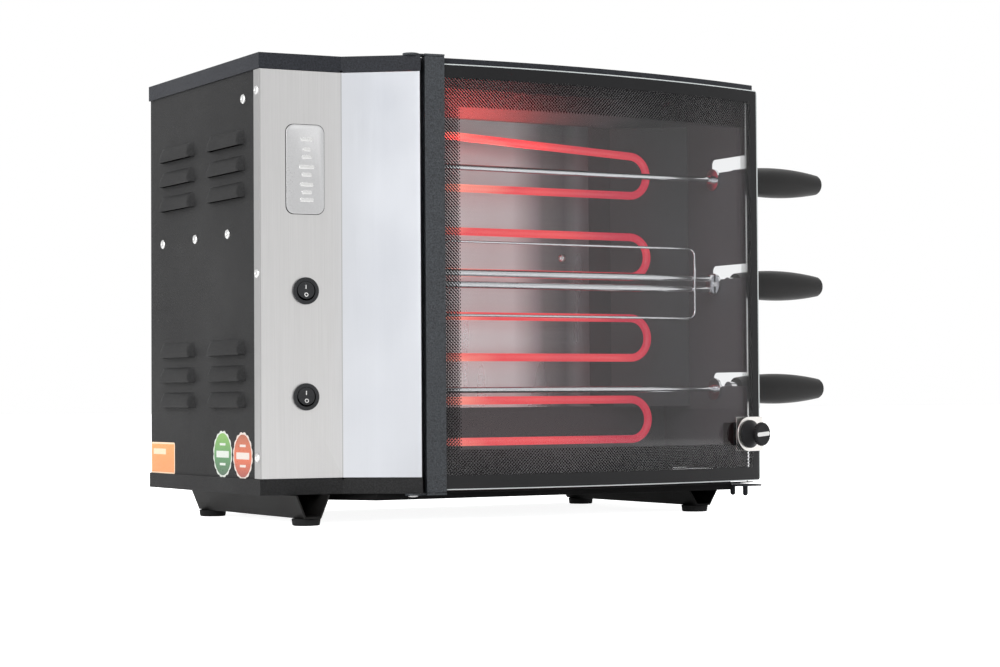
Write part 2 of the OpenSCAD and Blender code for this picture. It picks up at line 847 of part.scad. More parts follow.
module each_heater_leg() {
    for (i = [0 : 3], leg = [0, 1]) {
        rise = (i == 3 && leg == 1) ? (bend_x - partition_x) * tan(splay_turn) : 0;
        translate([0, heater_y, heater_z(i) + leg * heater_pitch + rise]) children();
    }
}

// U-shaped tube; the upper leg rises by turn degrees towards the left
module heater(i, turn) {
    low = heater_z(i);
    high = low + heater_pitch;
    leg_l = bend_x - heater_left_x;
    color("#e8523a") place() {
        bar_x(heater_d / 2, heater_left_x, bend_x, heater_y, low);
        translate([bend_x, heater_y, high]) rotate([0, turn, 0]) {
            rotate([0, -90, 0]) cylinder(d = heater_d, h = leg_l / cos(turn));
            sphere(d = heater_d);
        }
        translate([bend_x, heater_y, low + heater_r]) rotate([90, 0, 0])
            intersection() {
                rotate_extrude() translate([heater_r, 0]) circle(d = heater_d);
                block([0, -far, -far], [far, far, far]);
            }
    }
}

module heater_1() { heater(0, 0); }
module heater_2() { heater(1, 0); }
module heater_3() { heater(2, 0); }
module heater_4() { heater(3, splay_turn); }

module heater_insulators() {
    color("#e9e4d8") place() difference() {
        each_heater_leg() {
            bar_x(insulator_d / 2, partition_x - insulator_l / 2, partition_x + sheet_t, 0, 0);
            bar_x(insulator_d / 2 + 2, partition_x + sheet_t, partition_x + sheet_t + 3, 0, 0);
        }
        each_heater_leg() bar_x(heater_d / 2 + 0.45, partition_x - 30, partition_x + 30, 0, 0);
    }
}

module heater_terminals() {
    color("#c8c2a8") place() each_heater_leg()
        block([heater_left_x - terminal_l, -terminal_w / 2, -0.5],
            [heater_left_x - 0.1, terminal_w / 2, 0.5]);
}

// ---------------------------------------------------------------- gear train

function involute(a) = tan(a) - a * PI / 180;

// Half of a tooth's angle at radius r, in degrees
function tooth_half(r, pitch_r) = let (
    base_r = pitch_r * cos(20),
    s = (PI * gear_module / 2 - backlash) / (2 * pitch_r),
    a = acos(min(1, base_r / r))
) (s + involute(20) - involute(a)) * 180 / PI;

// Outline of a spur gear with a tooth at the top
function gear_points(n) = let (
    pitch_r = gear_module * n / 2,
    base_r = pitch_r * cos(20),
    root_r = pitch_r - 1.25 * gear_module,
    tip_r = pitch_r + 0.95 * gear_module,
    steps = 3,
    radii = [for (k = [0 : steps]) max(base_r, root_r) + (tip_r - max(base_r, root_r)) * k / steps]
) [
    for (i = [0 : n - 1]) let (mid = 90 + i * 360 / n) each concat(
        [[root_r, mid - tooth_half(radii[0], pitch_r)]],
        [for (r = radii) [r, mid - tooth_half(r, pitch_r)]],
        [for (r = reversed(radii)) [r, mid + tooth_half(r, pitch_r)]],
        [[root_r, mid + tooth_half(radii[0], pitch_r)]]
    )
];

function polar(p) = [for (q = p) [q[0] * cos(q[1]), q[0] * sin(q[1])]];

// Spur gear across X, its teeth turned so that one points up
module gear(n, y, z) {
    translate([gear_x, y, z]) rotate([90, 0, 90])
        linear_extrude(gear_w) polygon(polar(gear_points(n)));
}

// Spindle: a gear on a shaft with a square socket at the chamber end
module spindle(z) {
    plate_end = gear_plate_x + gear_plate_t + hub_gap;
    color("#8f8f92") place() difference() {
        union() {
            bar_x(shaft_d / 2, gear_plate_x - 2, socket_x, skewer_y, z);
            bar_x(collar_d / 2, plate_end, gear_x + eps, skewer_y, z);
            gear(gear_teeth, skewer_y, z);
            bar_x(collar_d / 2, gear_x + gear_w - eps, bush_x - hub_gap, skewer_y, z);
            bar_x(socket_d / 2, socket_x, socket_x + socket_l, skewer_y, z);
        }
        block([socket_x + 2, skewer_y - tip_side / 2 - tip_gap, z - tip_side / 2 - tip_gap],
            [socket_x + socket_l + 1, skewer_y + tip_side / 2 + tip_gap,
             z + tip_side / 2 + tip_gap]);
    }
}

module bottom_spindle() { spindle(low_skewer_z); }
module middle_spindle() { spindle(middle_skewer_z); }
module top_spindle() { spindle(top_skewer_z); }

module idler(z) {
    color("#b08d3c") place() difference() {
        union() {
            gear(gear_teeth, skewer_y, z);
            bar_x(collar_d / 2, gear_x - 3, gear_x + gear_w + 3, skewer_y, z);
        }
        bar_x(shaft_d / 2 + run_gap, gear_x - 4, gear_x + gear_w + 4, skewer_y, z);
    }
}

lower_idler_z = low_skewer_z + skewer_pitch / 2;
upper_idler_z = middle_skewer_z + skewer_pitch / 2;

module lower_idler() { idler(lower_idler_z); }
module upper_idler() { idler(upper_idler_z); }

module idler_studs() {
    plate_end = gear_plate_x + gear_plate_t;
    color("#9a9a9d") place() for (z = [lower_idler_z, upper_idler_z]) {
        bar_x(shaft_d / 2, plate_end, partition_x, skewer_y, z);
        bar_x(collar_d / 2, plate_end, gear_x - 3 - hub_gap, skewer_y, z);
        bar_x(collar_d / 2, gear_x + gear_w + 3 + hub_gap, partition_x, skewer_y, z);
    }
}

pinion_z = low_skewer_z - pinion_drop;
plate_front_y = skewer_y - plate_reach;
plate_back_y = skewer_y + plate_reach;
plate_low_z = pinion_z - motor_d / 2 - 4;
plate_top_z = top_skewer_z + 2 * collar_d;
pinion_shaft_in = 11;

module gear_plate() {
    color("#a9abad") place() difference() {
        block([gear_plate_x, plate_front_y, plate_low_z],
            [gear_plate_x + gear_plate_t, plate_back_y, plate_top_z]);
        for (z = skewer_zs)
            bar_x(shaft_d / 2 + run_gap, 0, far, skewer_y, z);
        bar_x(collar_d / 2 + 1, 0, far, skewer_y, pinion_z);
    }
}

module plate_standoffs() {
    edge = 6;
    color("#b9b9bb") place()
        for (y = [plate_front_y + edge, plate_back_y - edge],
             z = [plate_low_z + edge, lower_idler_z, plate_top_z - edge])
            bar_x(4, gear_plate_x + gear_plate_t, partition_x, y, z);
}

bush_barrel_d = 16;

module spindle_bushes() {
    color("#b58f4a") place() for (z = skewer_zs) difference() {
        union() {
            bar_x(bush_barrel_d / 2, bush_x, bush_x + bush_l, skewer_y, z);
            bar_x(bush_barrel_d / 2 + 3, partition_x + sheet_t, partition_x + sheet_t + 2,
                skewer_y, z);
        }
        bar_x(shaft_d / 2 + run_gap, bush_x - 1, bush_x + bush_l + 1, skewer_y, z);
    }
}

module gear_motor() {
    motor_shift = 10;
    box_l = 14;
    color("#b3b5b6") place() difference() {
        union() {
            bar_x(motor_d / 2, gear_plate_x - motor_l, gear_plate_x - box_l,
                skewer_y + motor_shift, pinion_z + 2);
            bar_x(motor_d / 2 - 4, gear_plate_x - box_l, gear_plate_x,
                skewer_y + motor_shift, pinion_z + 2);
        }
        bar_x(shaft_d / 2 + run_gap, gear_plate_x - pinion_shaft_in - 1, gear_plate_x + 1,
            skewer_y, pinion_z);
    }
}

module motor_pinion() {
    color("#c3a350") place() {
        gear(pinion_teeth, skewer_y, pinion_z);
        bar_x(shaft_d / 2, gear_plate_x - pinion_shaft_in, gear_x + gear_w + 4, skewer_y,
            pinion_z);
        bar_x(collar_d / 2, gear_plate_x + 0.3, gear_x + eps, skewer_y, pinion_z);
    }
}

// ---------------------------------------------------------------- wiring inlet

gland_r = 8;
module terminal_block() {
    pole = 10;
    block_w = 18;
    block_x = 20;
    mid_y = side_depth - block_in;
    color("#e6e3da") place() difference() {
        block([block_x, mid_y - block_w / 2, floor_z + sheet_t],
            [block_x + 5 * pole, mid_y + block_w / 2, floor_z + 17]);
        for (i = [0.5 : 4.5])
            translate([block_x + i * pole, mid_y, floor_z + 9]) cylinder(r = 2.4, h = 20);
    }
}

module cord_gland() {
    inner_y = side_depth - wall_o - sheet_t;
    color("#1e1e1f") place() difference() {
        union() {
            bar_y(gland_r, inner_y - 8, side_depth + gland_out, gland_x, gland_z);
            bar_y(gland_r + 3, side_depth - wall_o, side_depth + gland_out, gland_x, gland_z);
            bar_y(gland_r + 2, inner_y - 4, inner_y, gland_x, gland_z);
        }
        bar_y(gland_r / 2, 0, far, gland_x, gland_z);
    }
}

// ---------------------------------------------------------------- door

module door_stile() {
    color("#46494e") place() stile_frame() difference() {
        block([stile_grip - stile_w, stile_front, stile_low_z],
            [stile_grip, stile_back, stile_top_z]);
        block([stile_grip - stile_w + stile_t, stile_front + stile_t, 0],
            [far, stile_back - stile_t, far]);
    }
}

// Everything that the glass fills
module glass_solid(d) {
    difference() {
        translate([arc_x, arc_y, 0]) cylinder(r = glass_r + d, h = far, $fn = 360);
        translate([arc_x, arc_y, -1]) cylinder(r = glass_r - glass_t - d, h = far + 2, $fn = 360);
    }
}

module door_glass() {
    corner_r = 4;
    mid_x = (glass_left_x + glass_right_x) / 2;
    color([0.25, 0.26, 0.28, 0.5]) place() difference() {
        intersection() {
            glass_solid(0);
            translate([mid_x, 0, glass_low_z + glass_h / 2])
                round_plate(glass_right_x - glass_left_x, glass_h, corner_r, -far / 2, 0);
        }
        knob_frame() bar_y(knob_screw_d / 2 + 0.3, -5, 20, 0, 0);
    }
}

knob_screw_d = 5;

module door_gasket() {
    color("#202021") place() difference() {
        stile_frame() block([-1.5, -gasket_t, glass_low_z], [stile_grip, glass_t + gasket_t,
            glass_low_z + glass_h]);
        intersection() {
            glass_solid(0.02);
            block([glass_left_x - 0.1, -far, 0], [far, far, far]);
        }
    }
}

module door_bushes() {
    color("#d8d8d8") place() stile_frame()
        for (z = [stile_low_z, stile_top_z - bush_h]) difference() {
            block([stile_grip - stile_w + stile_t, stile_front + stile_t, z],
                [-1.8, stile_back - stile_t, z + bush_h]);
            translate([pivot_x, pivot_y, z - 1])
                cylinder(r = pivot_d / 2 + run_gap, h = bush_h + 2);
        }
}

// Metal clip folded around the glass's edge
module knob_clip() {
    corner = [glass_right_x, arc_y - sqrt(glass_r * glass_r - pow(glass_right_x - arc_x, 2))];
    edge = norm(glass_at(knob_turn) - corner) + glass_t * tan(knob_turn) + 0.3;
    front = -clip_seat - clip_t;
    back = glass_t + clip_seat + clip_t;
    color("#cdc9c4") place() knob_frame() difference() {
        union() {
            bar_y(clip_h / 2, front, -clip_seat, 0, 0);
            block([0, front, -clip_h / 2], [edge + clip_t, -clip_seat, clip_h / 2]);
            block([edge, front, -clip_h / 2], [edge + clip_t, back, clip_h / 2]);
            block([-10, back - clip_t, -clip_h / 2], [edge + clip_t, back, clip_h / 2]);
        }
        bar_y(knob_screw_d / 2 + 0.3, -5, 20, 0, 0);
    }
}

module knob_base() {
    back = -clip_seat - clip_t;
    neck_r = 5;
    color("#2b2c2e") place() knob_frame() {
        rotate([90, 0, 0]) translate([0, 0, -back]) {
            cylinder(r = knob_base_d / 2, h = 2);
            translate([0, 0, 2]) cylinder(r1 = knob_base_d / 2, r2 = neck_r, h = knob_base_h - 5);
            cylinder(r = neck_r, h = knob_base_h);
        }
        // screw through the glass
        bar_y(knob_screw_d / 2, back, glass_t + clip_seat, 0, 0);
    }
}

module door_knob() {
    back = clip_seat + clip_t + knob_base_h;
    color("#1f1f20") place() knob_frame() rotate([90, 0, 0]) translate([0, 0, back]) {
        cylinder(r = knob_d / 2, h = knob_h - knob_chamfer);
        translate([0, 0, knob_h - knob_chamfer])
            cylinder(r1 = knob_d / 2, r2 = knob_d / 2 - knob_chamfer, h = knob_chamfer);
    }
}

// ---------------------------------------------------------------- drip tray

module tray_rails() {
    rail_h = 8;
    color("#9c9c9f") place()
        for (y = [tray_front_y - tray_gap - rail_t, tray_back_y + tray_gap])
            block([tray_x, y, pan_z + sheet_t],
                [pan_end_x - sheet_t - tray_gap, y + rail_t, pan_z + sheet_t + rail_h]);
}

module drip_tray() {
    low = pan_z + sheet_t + tray_gap;
    color("#5a5b5e") place() difference() {
        block([tray_x, tray_front_y, low], [tray_end_x, tray_back_y, low + tray_h]);
        block([tray_x + tray_t, tray_front_y + tray_t, low + tray_t],
            [tray_end_x - tray_t, tray_back_y - tray_t, low + tray_h + 1]);
    }
}

module tray_pull() {
    t = 1.6;
    low = floor_z - t - 1.4;
    front = pan_front_y - 8;
    back = 15;
    end_x = cabinet_w;
    peg_d = 4.8;
    peg_in = 9.6;
    color("#262627") place() {
        difference() {
            union() {
                block([tray_end_x, tray_front_y, low], [tray_end_x + t, back,
                    pan_z + sheet_t + tray_h - 1]);
                block([tray_end_x, tray_front_y, low], [end_x, back, low + t]);
                block([pan_end_x + 0.6, front, low], [end_x, tray_front_y + 1, low + t]);
            }
            block([end_x - 14, front + 4, low - 1], [end_x - 3, front + 8, low + t + 1]);
        }
        for (y = [-19, 1]) {
            translate([end_x - peg_in, y, low - 7]) cylinder(d = peg_d, h = 7 + eps);
            translate([end_x - peg_in, y, low - 7]) sphere(d = peg_d);
        }
    }
}

// ---------------------------------------------------------------- skewers

// Square tip, stop disc, wall sleeve, ferrule, and the end inside the handle
module skewer_ends(z) {
    disc_t = 2.4;
    disc_x = wall_x - sheet_t - disc_t - 0.6;
    ferrule_l = 9;
    block([tip_x, skewer_y - tip_side / 2, z - tip_side / 2],
        [socket_x + socket_l + 2, skewer_y + tip_side / 2, z + tip_side / 2]);
    bar_x(stop_disc_d / 2, disc_x, disc_x + disc_t, skewer_y, z);
    bar_x(sleeve_d / 2, disc_x - 3, wall_x + 4, skewer_y, z);
    bar_x(rod_d / 2, wall_x, handle_x + handle_l * 0.6, skewer_y, z);
    bar_x(handle_end_d / 2 - 4, handle_x - ferrule_l, handle_x, skewer_y, z);
}

module single_skewer(z) {
    color("#b9b9bb") place() {
        skewer_ends(z);
        bar_x(rod_d / 2, socket_x + socket_l, wall_x, skewer_y, z);
    }
}

module bottom_skewer() { single_skewer(low_skewer_z); }
module top_skewer() { single_skewer(top_skewer_z); }

// Two rods between end blocks, with a flat wire basket welded to them
module middle_skewer() {
    z = middle_skewer_z;
    start_x = socket_x + socket_l + 2;
    yoke_t = 4;
    end_x = wall_x - sheet_t - 4;
    half = basket_w / 2;
    bend_r = 7;
    wire_x0 = start_x + 6;
    wire_x1 = wall_x - 28;
    wire_y = skewer_y - twin_rod_d / 2 - basket_wire_d / 2 + 0.3;
    color("#b9b9bb") place() {
        skewer_ends(z);
        for (x = [start_x, end_x - yoke_t])
            block([x, skewer_y - 3.5, z - twin_gap / 2 - 3.5],
                [x + yoke_t, skewer_y + 3.5, z + twin_gap / 2 + 3.5]);
        for (side = [-1, 1])
            bar_x(twin_rod_d / 2, start_x, end_x, skewer_y, z + side * twin_gap / 2);
        // basket wire
        for (side = [-1, 1])
            bar_x(basket_wire_d / 2, wire_x0 + bend_r, wire_x1 - bend_r, wire_y,
                z + side * half);
        for (x = [wire_x0, wire_x1])
            translate([x, wire_y, z - half + bend_r])
                cylinder(d = basket_wire_d, h = basket_w - 2 * bend_r);
        for (i = [0, 1], j = [0, 1])
            translate([i == 0 ? wire_x0 + bend_r : wire_x1 - bend_r, wire_y,
                j == 0 ? z - half + bend_r : z + half - bend_r])
                rotate([90, 0, 0]) intersection() {
                    rotate_extrude() translate([bend_r, 0]) circle(d = basket_wire_d);
                    mirror([1 - i, 0, 0]) mirror([0, 1 - j, 0])
                        block([0, 0, -far], [far, far, far]);
                }
    }
}

// Turned handle with a barrel-shaped grip
module handle(z) {
    mid_r = handle_mid_d / 2;
    tail_r = handle_tail_d / 2;
    drop = mid_r - handle_end_d / 2;
    tail_drop = mid_r - tail_r;
    // place of the thickest point, from one circle through the ends
    b = 2 * drop * handle_l;
    c = drop * (drop * tail_drop - handle_l * handle_l - tail_drop * tail_drop);
    peak = -2 * c / (b + sqrt(b * b - 4 * (tail_drop - drop) * c));
    arc_r = (peak * peak + drop * drop) / (2 * drop);
    round_r = 3;
    color("#2f2e2f") place() difference() {
        translate([handle_x, skewer_y, z]) rotate([0, 90, 0]) rotate_extrude() difference() {
            intersection() {
                translate([mid_r - arc_r, peak]) circle(r = arc_r, $fn = 256);
                union() {
                    square([far, handle_l - round_r]);
                    square([tail_r - round_r, handle_l]);
                    translate([tail_r - round_r, handle_l - round_r]) circle(r = round_r);
                }
            }
            translate([-far, -far]) square([far, 2 * far]);
        }
        bar_x(rod_d / 2 + 0.02, handle_x - 1, handle_x + handle_l * 0.6 + 0.3, skewer_y, z);
    }
}

module bottom_handle() { handle(low_skewer_z); }
module middle_handle() { handle(middle_skewer_z); }
module top_handle() { handle(top_skewer_z); }

reflector_screw_x = 369;
reflector_screw_z = 241;

left_side_panel();
back_panel();
top_cover();
compartment_floor();
base_pan();
right_wall();
chamber_partition();
chamber_rear_wall();
rear_reflector();
reflector_screw();
control_panel();
badge_plate();
side_rivets();
panel_rivets();
upper_switch_body();
lower_switch_body();
left_foot_bracket();
right_foot_bracket();
rubber_feet();
hinge_plates();
hinge_pins();
hinge_screws();
door_magnet();
heater_1();
heater_2();
heater_3();
heater_4();
heater_insulators();
heater_terminals();
gear_plate();
plate_standoffs();
idler_studs();
spindle_bushes();
gear_motor();
motor_pinion();
terminal_block();
cord_gland();
tray_rails();
door_stile();
door_gasket();
door_glass();
door_bushes();
knob_clip();
knob_base();
door_knob();
upper_rocker();
lower_rocker();
drip_tray();
tray_pull();
top_spindle();
middle_spindle();
bottom_spindle();
upper_idler();
lower_idler();
top_skewer();
middle_skewer();
bottom_skewer();
top_handle();
middle_handle();
bottom_handle();
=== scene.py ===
import json
import math
import bmesh
import bpy
from mathutils import Matrix, Vector

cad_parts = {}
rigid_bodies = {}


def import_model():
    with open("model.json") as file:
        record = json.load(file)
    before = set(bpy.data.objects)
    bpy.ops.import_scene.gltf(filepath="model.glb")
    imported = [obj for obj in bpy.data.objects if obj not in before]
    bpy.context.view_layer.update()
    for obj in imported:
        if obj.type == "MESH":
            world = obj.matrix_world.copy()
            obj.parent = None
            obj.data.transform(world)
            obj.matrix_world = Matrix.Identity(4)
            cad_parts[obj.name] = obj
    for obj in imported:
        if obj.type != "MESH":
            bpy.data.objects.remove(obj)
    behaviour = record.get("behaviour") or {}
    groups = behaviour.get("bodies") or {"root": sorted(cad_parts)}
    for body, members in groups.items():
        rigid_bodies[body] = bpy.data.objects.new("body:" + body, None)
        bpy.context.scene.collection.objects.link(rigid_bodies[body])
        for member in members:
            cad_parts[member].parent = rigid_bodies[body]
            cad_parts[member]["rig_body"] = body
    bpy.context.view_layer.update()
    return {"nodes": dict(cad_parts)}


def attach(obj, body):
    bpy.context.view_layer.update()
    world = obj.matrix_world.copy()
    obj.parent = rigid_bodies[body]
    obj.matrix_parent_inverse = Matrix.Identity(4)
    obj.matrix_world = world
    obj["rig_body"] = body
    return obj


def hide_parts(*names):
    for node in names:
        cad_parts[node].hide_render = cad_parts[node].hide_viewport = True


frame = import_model()
nodes = frame["nodes"]
print("frame loaded:", len(nodes), "CAD nodes")

# The plan's zero is the cabinet's front left corner on the table, in millimetres
plan = {"zeroX": 304.0, "zeroY": 97.51491527, "mm": 0.001}
# Distances in metres within which points are taken as one
near = {"plane": 0.000001, "spun": 0.000002, "sheet": 0.000005}


def at(x, y, z):
    return Vector(((x - plan["zeroX"]) * plan["mm"], (y - plan["zeroY"]) * plan["mm"], z * plan["mm"]))


class Wire:  # a socket that takes part in plain sums
    def __init__(self, finish, socket):
        self.finish = finish
        self.socket = socket

    def maths(self, operation, *values):
        return self.finish.node("ShaderNodeMath", {"operation": operation}, dict(enumerate(values)))

    def __add__(self, other):
        return self.maths("ADD", self, other)

    def __radd__(self, other):
        return self.maths("ADD", other, self)

    def __sub__(self, other):
        return self.maths("SUBTRACT", self, other)

    def __rsub__(self, other):
        return self.maths("SUBTRACT", other, self)

    def __mul__(self, other):
        return self.maths("MULTIPLY", self, other)

    def __truediv__(self, other):
        return self.maths("DIVIDE", self, other)

    def __pow__(self, other):
        return self.maths("POWER", self, other)

    def under(self, limit):
        return self.maths("LESS_THAN", self, limit)

    def over(self, limit):
        return self.maths("GREATER_THAN", self, limit)

    def smaller(self, other):
        return self.maths("MINIMUM", self, other)

    def larger(self, other):
        return self.maths("MAXIMUM", self, other)

    def size(self):
        return self.maths("ABSOLUTE", self)

    def part(self):
        return self.maths("FRACT", self)


# The parts of a noise's range that a finish is spread over
spans = {"usual": (0.3, 0.7), "upper": (0.35, 0.7), "top": (0.4, 0.7),
         "tight": (0.35, 0.65), "wide": (0.2, 0.8)}


class Finish:  # the nodes of one material, or of the world
    def __init__(self, name, holder=None, end="ShaderNodeOutputMaterial"):
        self.holder = holder or bpy.data.materials.new(name)
        self.holder.use_nodes = True
        self.tree = self.holder.node_tree
        self.tree.nodes.clear()
        self.end = self.tree.nodes.new(end)

    def node(self, kind, settings, inputs, output=0):
        made = self.tree.nodes.new(kind)
        for key, value in settings.items():
            if key == "stops":
                ramp = made.color_ramp
                while len(ramp.elements) < len(value):
                    ramp.elements.new(0.5)
                for stop, (place, colour) in zip(ramp.elements, value):
                    stop.position = place
                    stop.color = (*colour, 1)
            else:
                setattr(made, key, value)
        for key, value in inputs.items():
            if isinstance(value, Wire):
                self.tree.links.new(value.socket, made.inputs[key])
            else:
                if made.inputs[key].type == "RGBA" and len(value) == 3:
                    value = (*value, 1)
                made.inputs[key].default_value = value
        return Wire(self, made.outputs[output])

    def place(self, scale=(1, 1, 1)):
        coords = self.node("ShaderNodeTexCoord", {}, {}, "Object")
        return self.node("ShaderNodeMapping", {}, {"Vector": coords, "Scale": scale})

    def split(self, vector):
        parts = self.tree.nodes.new("ShaderNodeSeparateXYZ")
        self.tree.links.new(vector.socket, parts.inputs[0])
        return [Wire(self, out) for out in parts.outputs]

    def axes(self):
        return self.split(self.place((1 / plan["mm"],) * 3))

    def noise(self, scale, detail=2.0, rough=0.5, stretch=(1, 1, 1)):
        return self.node("ShaderNodeTexNoise", {}, {
            "Vector": self.place(stretch), "Scale": scale, "Detail": detail, "Roughness": rough}, "Fac")

    def brushed(self, look):
        return self.noise(1.0, 3.0, 0.6, look["lines"])

    def mix(self, share, first, second):
        return self.node("ShaderNodeMix", {"data_type": "RGBA"}, {0: share, 6: first, 7: second}, 2)

    def mixShaders(self, share, first, second):
        return self.node("ShaderNodeMixShader", {}, {0: share, 1: first, 2: second})

    def ramp(self, value, *stops):
        return self.node("ShaderNodeValToRGB", {"stops": stops}, {0: value})

    def scaled(self, value, low, high, first, second):
        return self.node("ShaderNodeMapRange", {"clamp": True}, {
            0: value, 1: low, 2: high, 3: first, 4: second})

    def spread(self, value, span, first, second):
        return self.scaled(value, *spans[span], first, second)

    def roughness(self, value, look, worn):
        return self.spread(value, "usual", look["rough"] - worn["smoother"], look["rough"] + worn["rougher"])

    def bump(self, height, strength, distance):
        return self.node("ShaderNodeBump", {}, {"Height": height, "Strength": strength, "Distance": distance})

    def shader(self, kind, inputs):
        return self.node(kind, {}, inputs)

    def body(self, **values):
        names = {"colour": "Base Color", "rough": "Roughness", "metal": "Metallic", "normal": "Normal",
                 "glow": "Emission Color", "glowStrength": "Emission Strength", "gloss": "Specular IOR Level",
                 "aniso": "Anisotropic", "anisoTurn": "Anisotropic Rotation"}
        return self.shader("ShaderNodeBsdfPrincipled", {names[k]: v for k, v in values.items()})

    def done(self, shader):
        self.tree.links.new(shader.socket, self.end.inputs["Surface"])
        return self.holder


def shade(colour, factor):
    return tuple(min(1.0, c * factor) for c in colour)


coats = {
    "powderCoat": {"colour": (0.009, 0.009, 0.0094), "grain": 800, "rough": 0.6,
                   "bump": 0.7, "depth": 0.0006, "spread": 0.9, "gloss": 0.26},
    "skirtCoat": {"colour": (0.0160, 0.0175, 0.0220), "grain": 800, "rough": 0.55,
                  "bump": 0.7, "depth": 0.0006, "spread": 0.8, "gloss": 0.24},
    "stileCoat": {"colour": (0.030, 0.034, 0.039), "grain": 800, "rough": 0.45,
                  "bump": 0.8, "depth": 0.0008, "spread": 0.9, "gloss": 0.4},
    "footCoat": {"colour": (0.008, 0.0077, 0.0074), "grain": 1400, "rough": 0.45,
                 "bump": 0.25, "depth": 0.0004, "spread": 0.3, "gloss": 0.14},
    # a darker copy of the black coat for the base pan and right foot bracket: painted shade under the grill
    "panCoat": {"colour": (0.006, 0.006, 0.0062), "grain": 1300, "rough": 0.5,
                "bump": 0.3, "depth": 0.0004, "spread": 0.4, "gloss": 0.08},
    "innerCoat": {"colour": (0.074, 0.071, 0.079), "grain": 1200, "rough": 0.5,
                  "bump": 0.02, "depth": 0.0002, "spread": 0.06, "gloss": 0.3},
    "trayEnamel": {"colour": (0.020, 0.020, 0.022), "grain": 700, "rough": 0.25,
                   "bump": 0.08, "depth": 0.0003, "spread": 0.5, "gloss": 0.5},
}
coatWear = {"scale": 7.0, "share": 0.35, "shade": 1.3, "smoother": 0.06, "rougher": 0.08}


def coat(name):
    look = coats[name]
    f = Finish(name)
    fine = f.noise(look["grain"], 3.0, 0.6)
    broad = f.noise(coatWear["scale"], 4.0, 0.6)
    dark = shade(look["colour"], 1 - look["spread"])
    light = shade(look["colour"], 1 + look["spread"])
    colour = f.mix(f.spread(fine, "usual", 0.0, 1.0), dark, light)
    pale = shade(look["colour"], coatWear["shade"])
    worn = f.mix(f.spread(broad, "upper", 0.0, coatWear["share"]), colour, pale)
    rough = f.roughness(broad, look, coatWear)
    normal = f.bump(fine, look["bump"], look["depth"])
    return f.done(f.body(colour=worn, rough=rough, normal=normal, gloss=look["gloss"]))


# The control panel's sheet is painted with light and shade at its fold and at its return on the side wall, in
# millimetres: a painted reflection makes the second facet brighter and bluer, and painted shade darkens the fold
# crease, the return and the second facet's upper right end
steels = {
    "panelSteel": {"colour": (0.565, 0.56, 0.557), "rough": 0.36, "lines": (2600, 2600, 14), "bump": 0.05,
                   "returnX": -302.4, "returnPaintedShade": 0.7, "foldX": -230.4, "foldWide": 0.4, "creasePaintedShade": 0.75,
                   # the second facet's brighter bluish colour is a painted reflection
                   "second": (0.628, 0.641, 0.667), "secondDark": 0.98, "secondLight": 1.01,
                   # painted shade towards the second facet's upper right end, stronger higher up
                   "endFrom": -206.0, "endTo": -180.0, "endPaintedShade": 0.68,
                   "endLow": 210.0, "endHigh": 390.0, "endLeast": 0.48},
    "reflectorSteel": {"colour": (0.775, 0.81, 0.805), "rough": 0.3, "lines": (12, 12, 1500), "bump": 0.03},
    "badgeSteel": {"colour": (0.56, 0.56, 0.565), "rough": 0.3, "lines": (900, 900, 900), "bump": 0.004},
    "rivetSteel": {"colour": (0.72, 0.72, 0.715), "rough": 0.24, "lines": (900, 900, 900), "bump": 0.01},
    "platedSteel": {"colour": (0.70, 0.70, 0.71), "rough": 0.16, "lines": (60, 1500, 1500), "bump": 0.03},
    "zincSteel": {"colour": (0.56, 0.57, 0.58), "rough": 0.4, "lines": (300, 300, 300), "bump": 0.05},
    "clipSteel": {"colour": (0.86, 0.84, 0.81), "rough": 0.3, "lines": (900, 900, 900), "bump": 0.03},
    "bushBrass": {"colour": (0.62, 0.46, 0.2), "rough": 0.35, "lines": (900, 900, 900), "bump": 0.05},
    "terminalBrass": {"colour": (0.66, 0.56, 0.3), "rough": 0.32, "lines": (900, 900, 900), "bump": 0.05},
}
steelWear = {"dark": 0.93, "light": 1.04, "smearScale": 9.0, "smearShare": 0.12, "smearShade": 0.8,
             "smoother": 0.03, "rougher": 0.06, "lineRough": 0.03, "lineDepth": 0.0002}


def paintedFacetLight(f, look, lines, colour):
    # painted light on the control panel: painted reflection on the second facet, painted shade at its upper right
    # end, in the fold crease and on the return
    x, y, z = f.axes()
    dark, light = shade(look["second"], look["secondDark"]), shade(look["second"], look["secondLight"])
    second = f.mix(f.spread(lines, "usual", 0.0, 1.0), dark, light)
    # painted shade at the second facet's upper right end, growing upwards
    paintedShadeUpward = f.scaled(z, look["endLow"], look["endHigh"], look["endLeast"], 1.0)
    end = f.scaled(x, look["endFrom"], look["endTo"], 0.0, 1.0) * paintedShadeUpward
    second = f.mix(end, second, shade(look["second"], look["endPaintedShade"]))
    colour = f.mix(x.over(look["foldX"]), colour, second)
    # painted shade along the fold crease
    paintedCrease = (x - look["foldX"]).size().under(look["foldWide"])
    colour = f.mix(paintedCrease, colour, shade(look["colour"], look["creasePaintedShade"]))
    # painted shade on the return on the side wall
    return f.mix(x.under(look["returnX"]), colour, shade(look["colour"], look["returnPaintedShade"]))


def steel(name):
    look = steels[name]
    f = Finish(name)
    lines = f.brushed(look)
    smears = f.noise(steelWear["smearScale"], 3.0, 0.55)
    dark, light = shade(look["colour"], steelWear["dark"]), shade(look["colour"], steelWear["light"])
    colour = f.mix(f.spread(lines, "usual", 0.0, 1.0), dark, light)
    smeared = shade(look["colour"], steelWear["smearShade"])
    colour = f.mix(f.spread(smears, "top", 0.0, steelWear["smearShare"]), colour, smeared)
    # the control panel gets painted reflection and painted shade
    if "foldX" in look:
        colour = paintedFacetLight(f, look, lines, colour)
    rough = f.roughness(smears, look, steelWear)
    rough = rough + f.spread(lines, "usual", -steelWear["lineRough"], steelWear["lineRough"])
    normal = f.bump(lines, look["bump"], steelWear["lineDepth"])
    return f.done(f.body(colour=colour, rough=rough, metal=1.0, normal=normal))


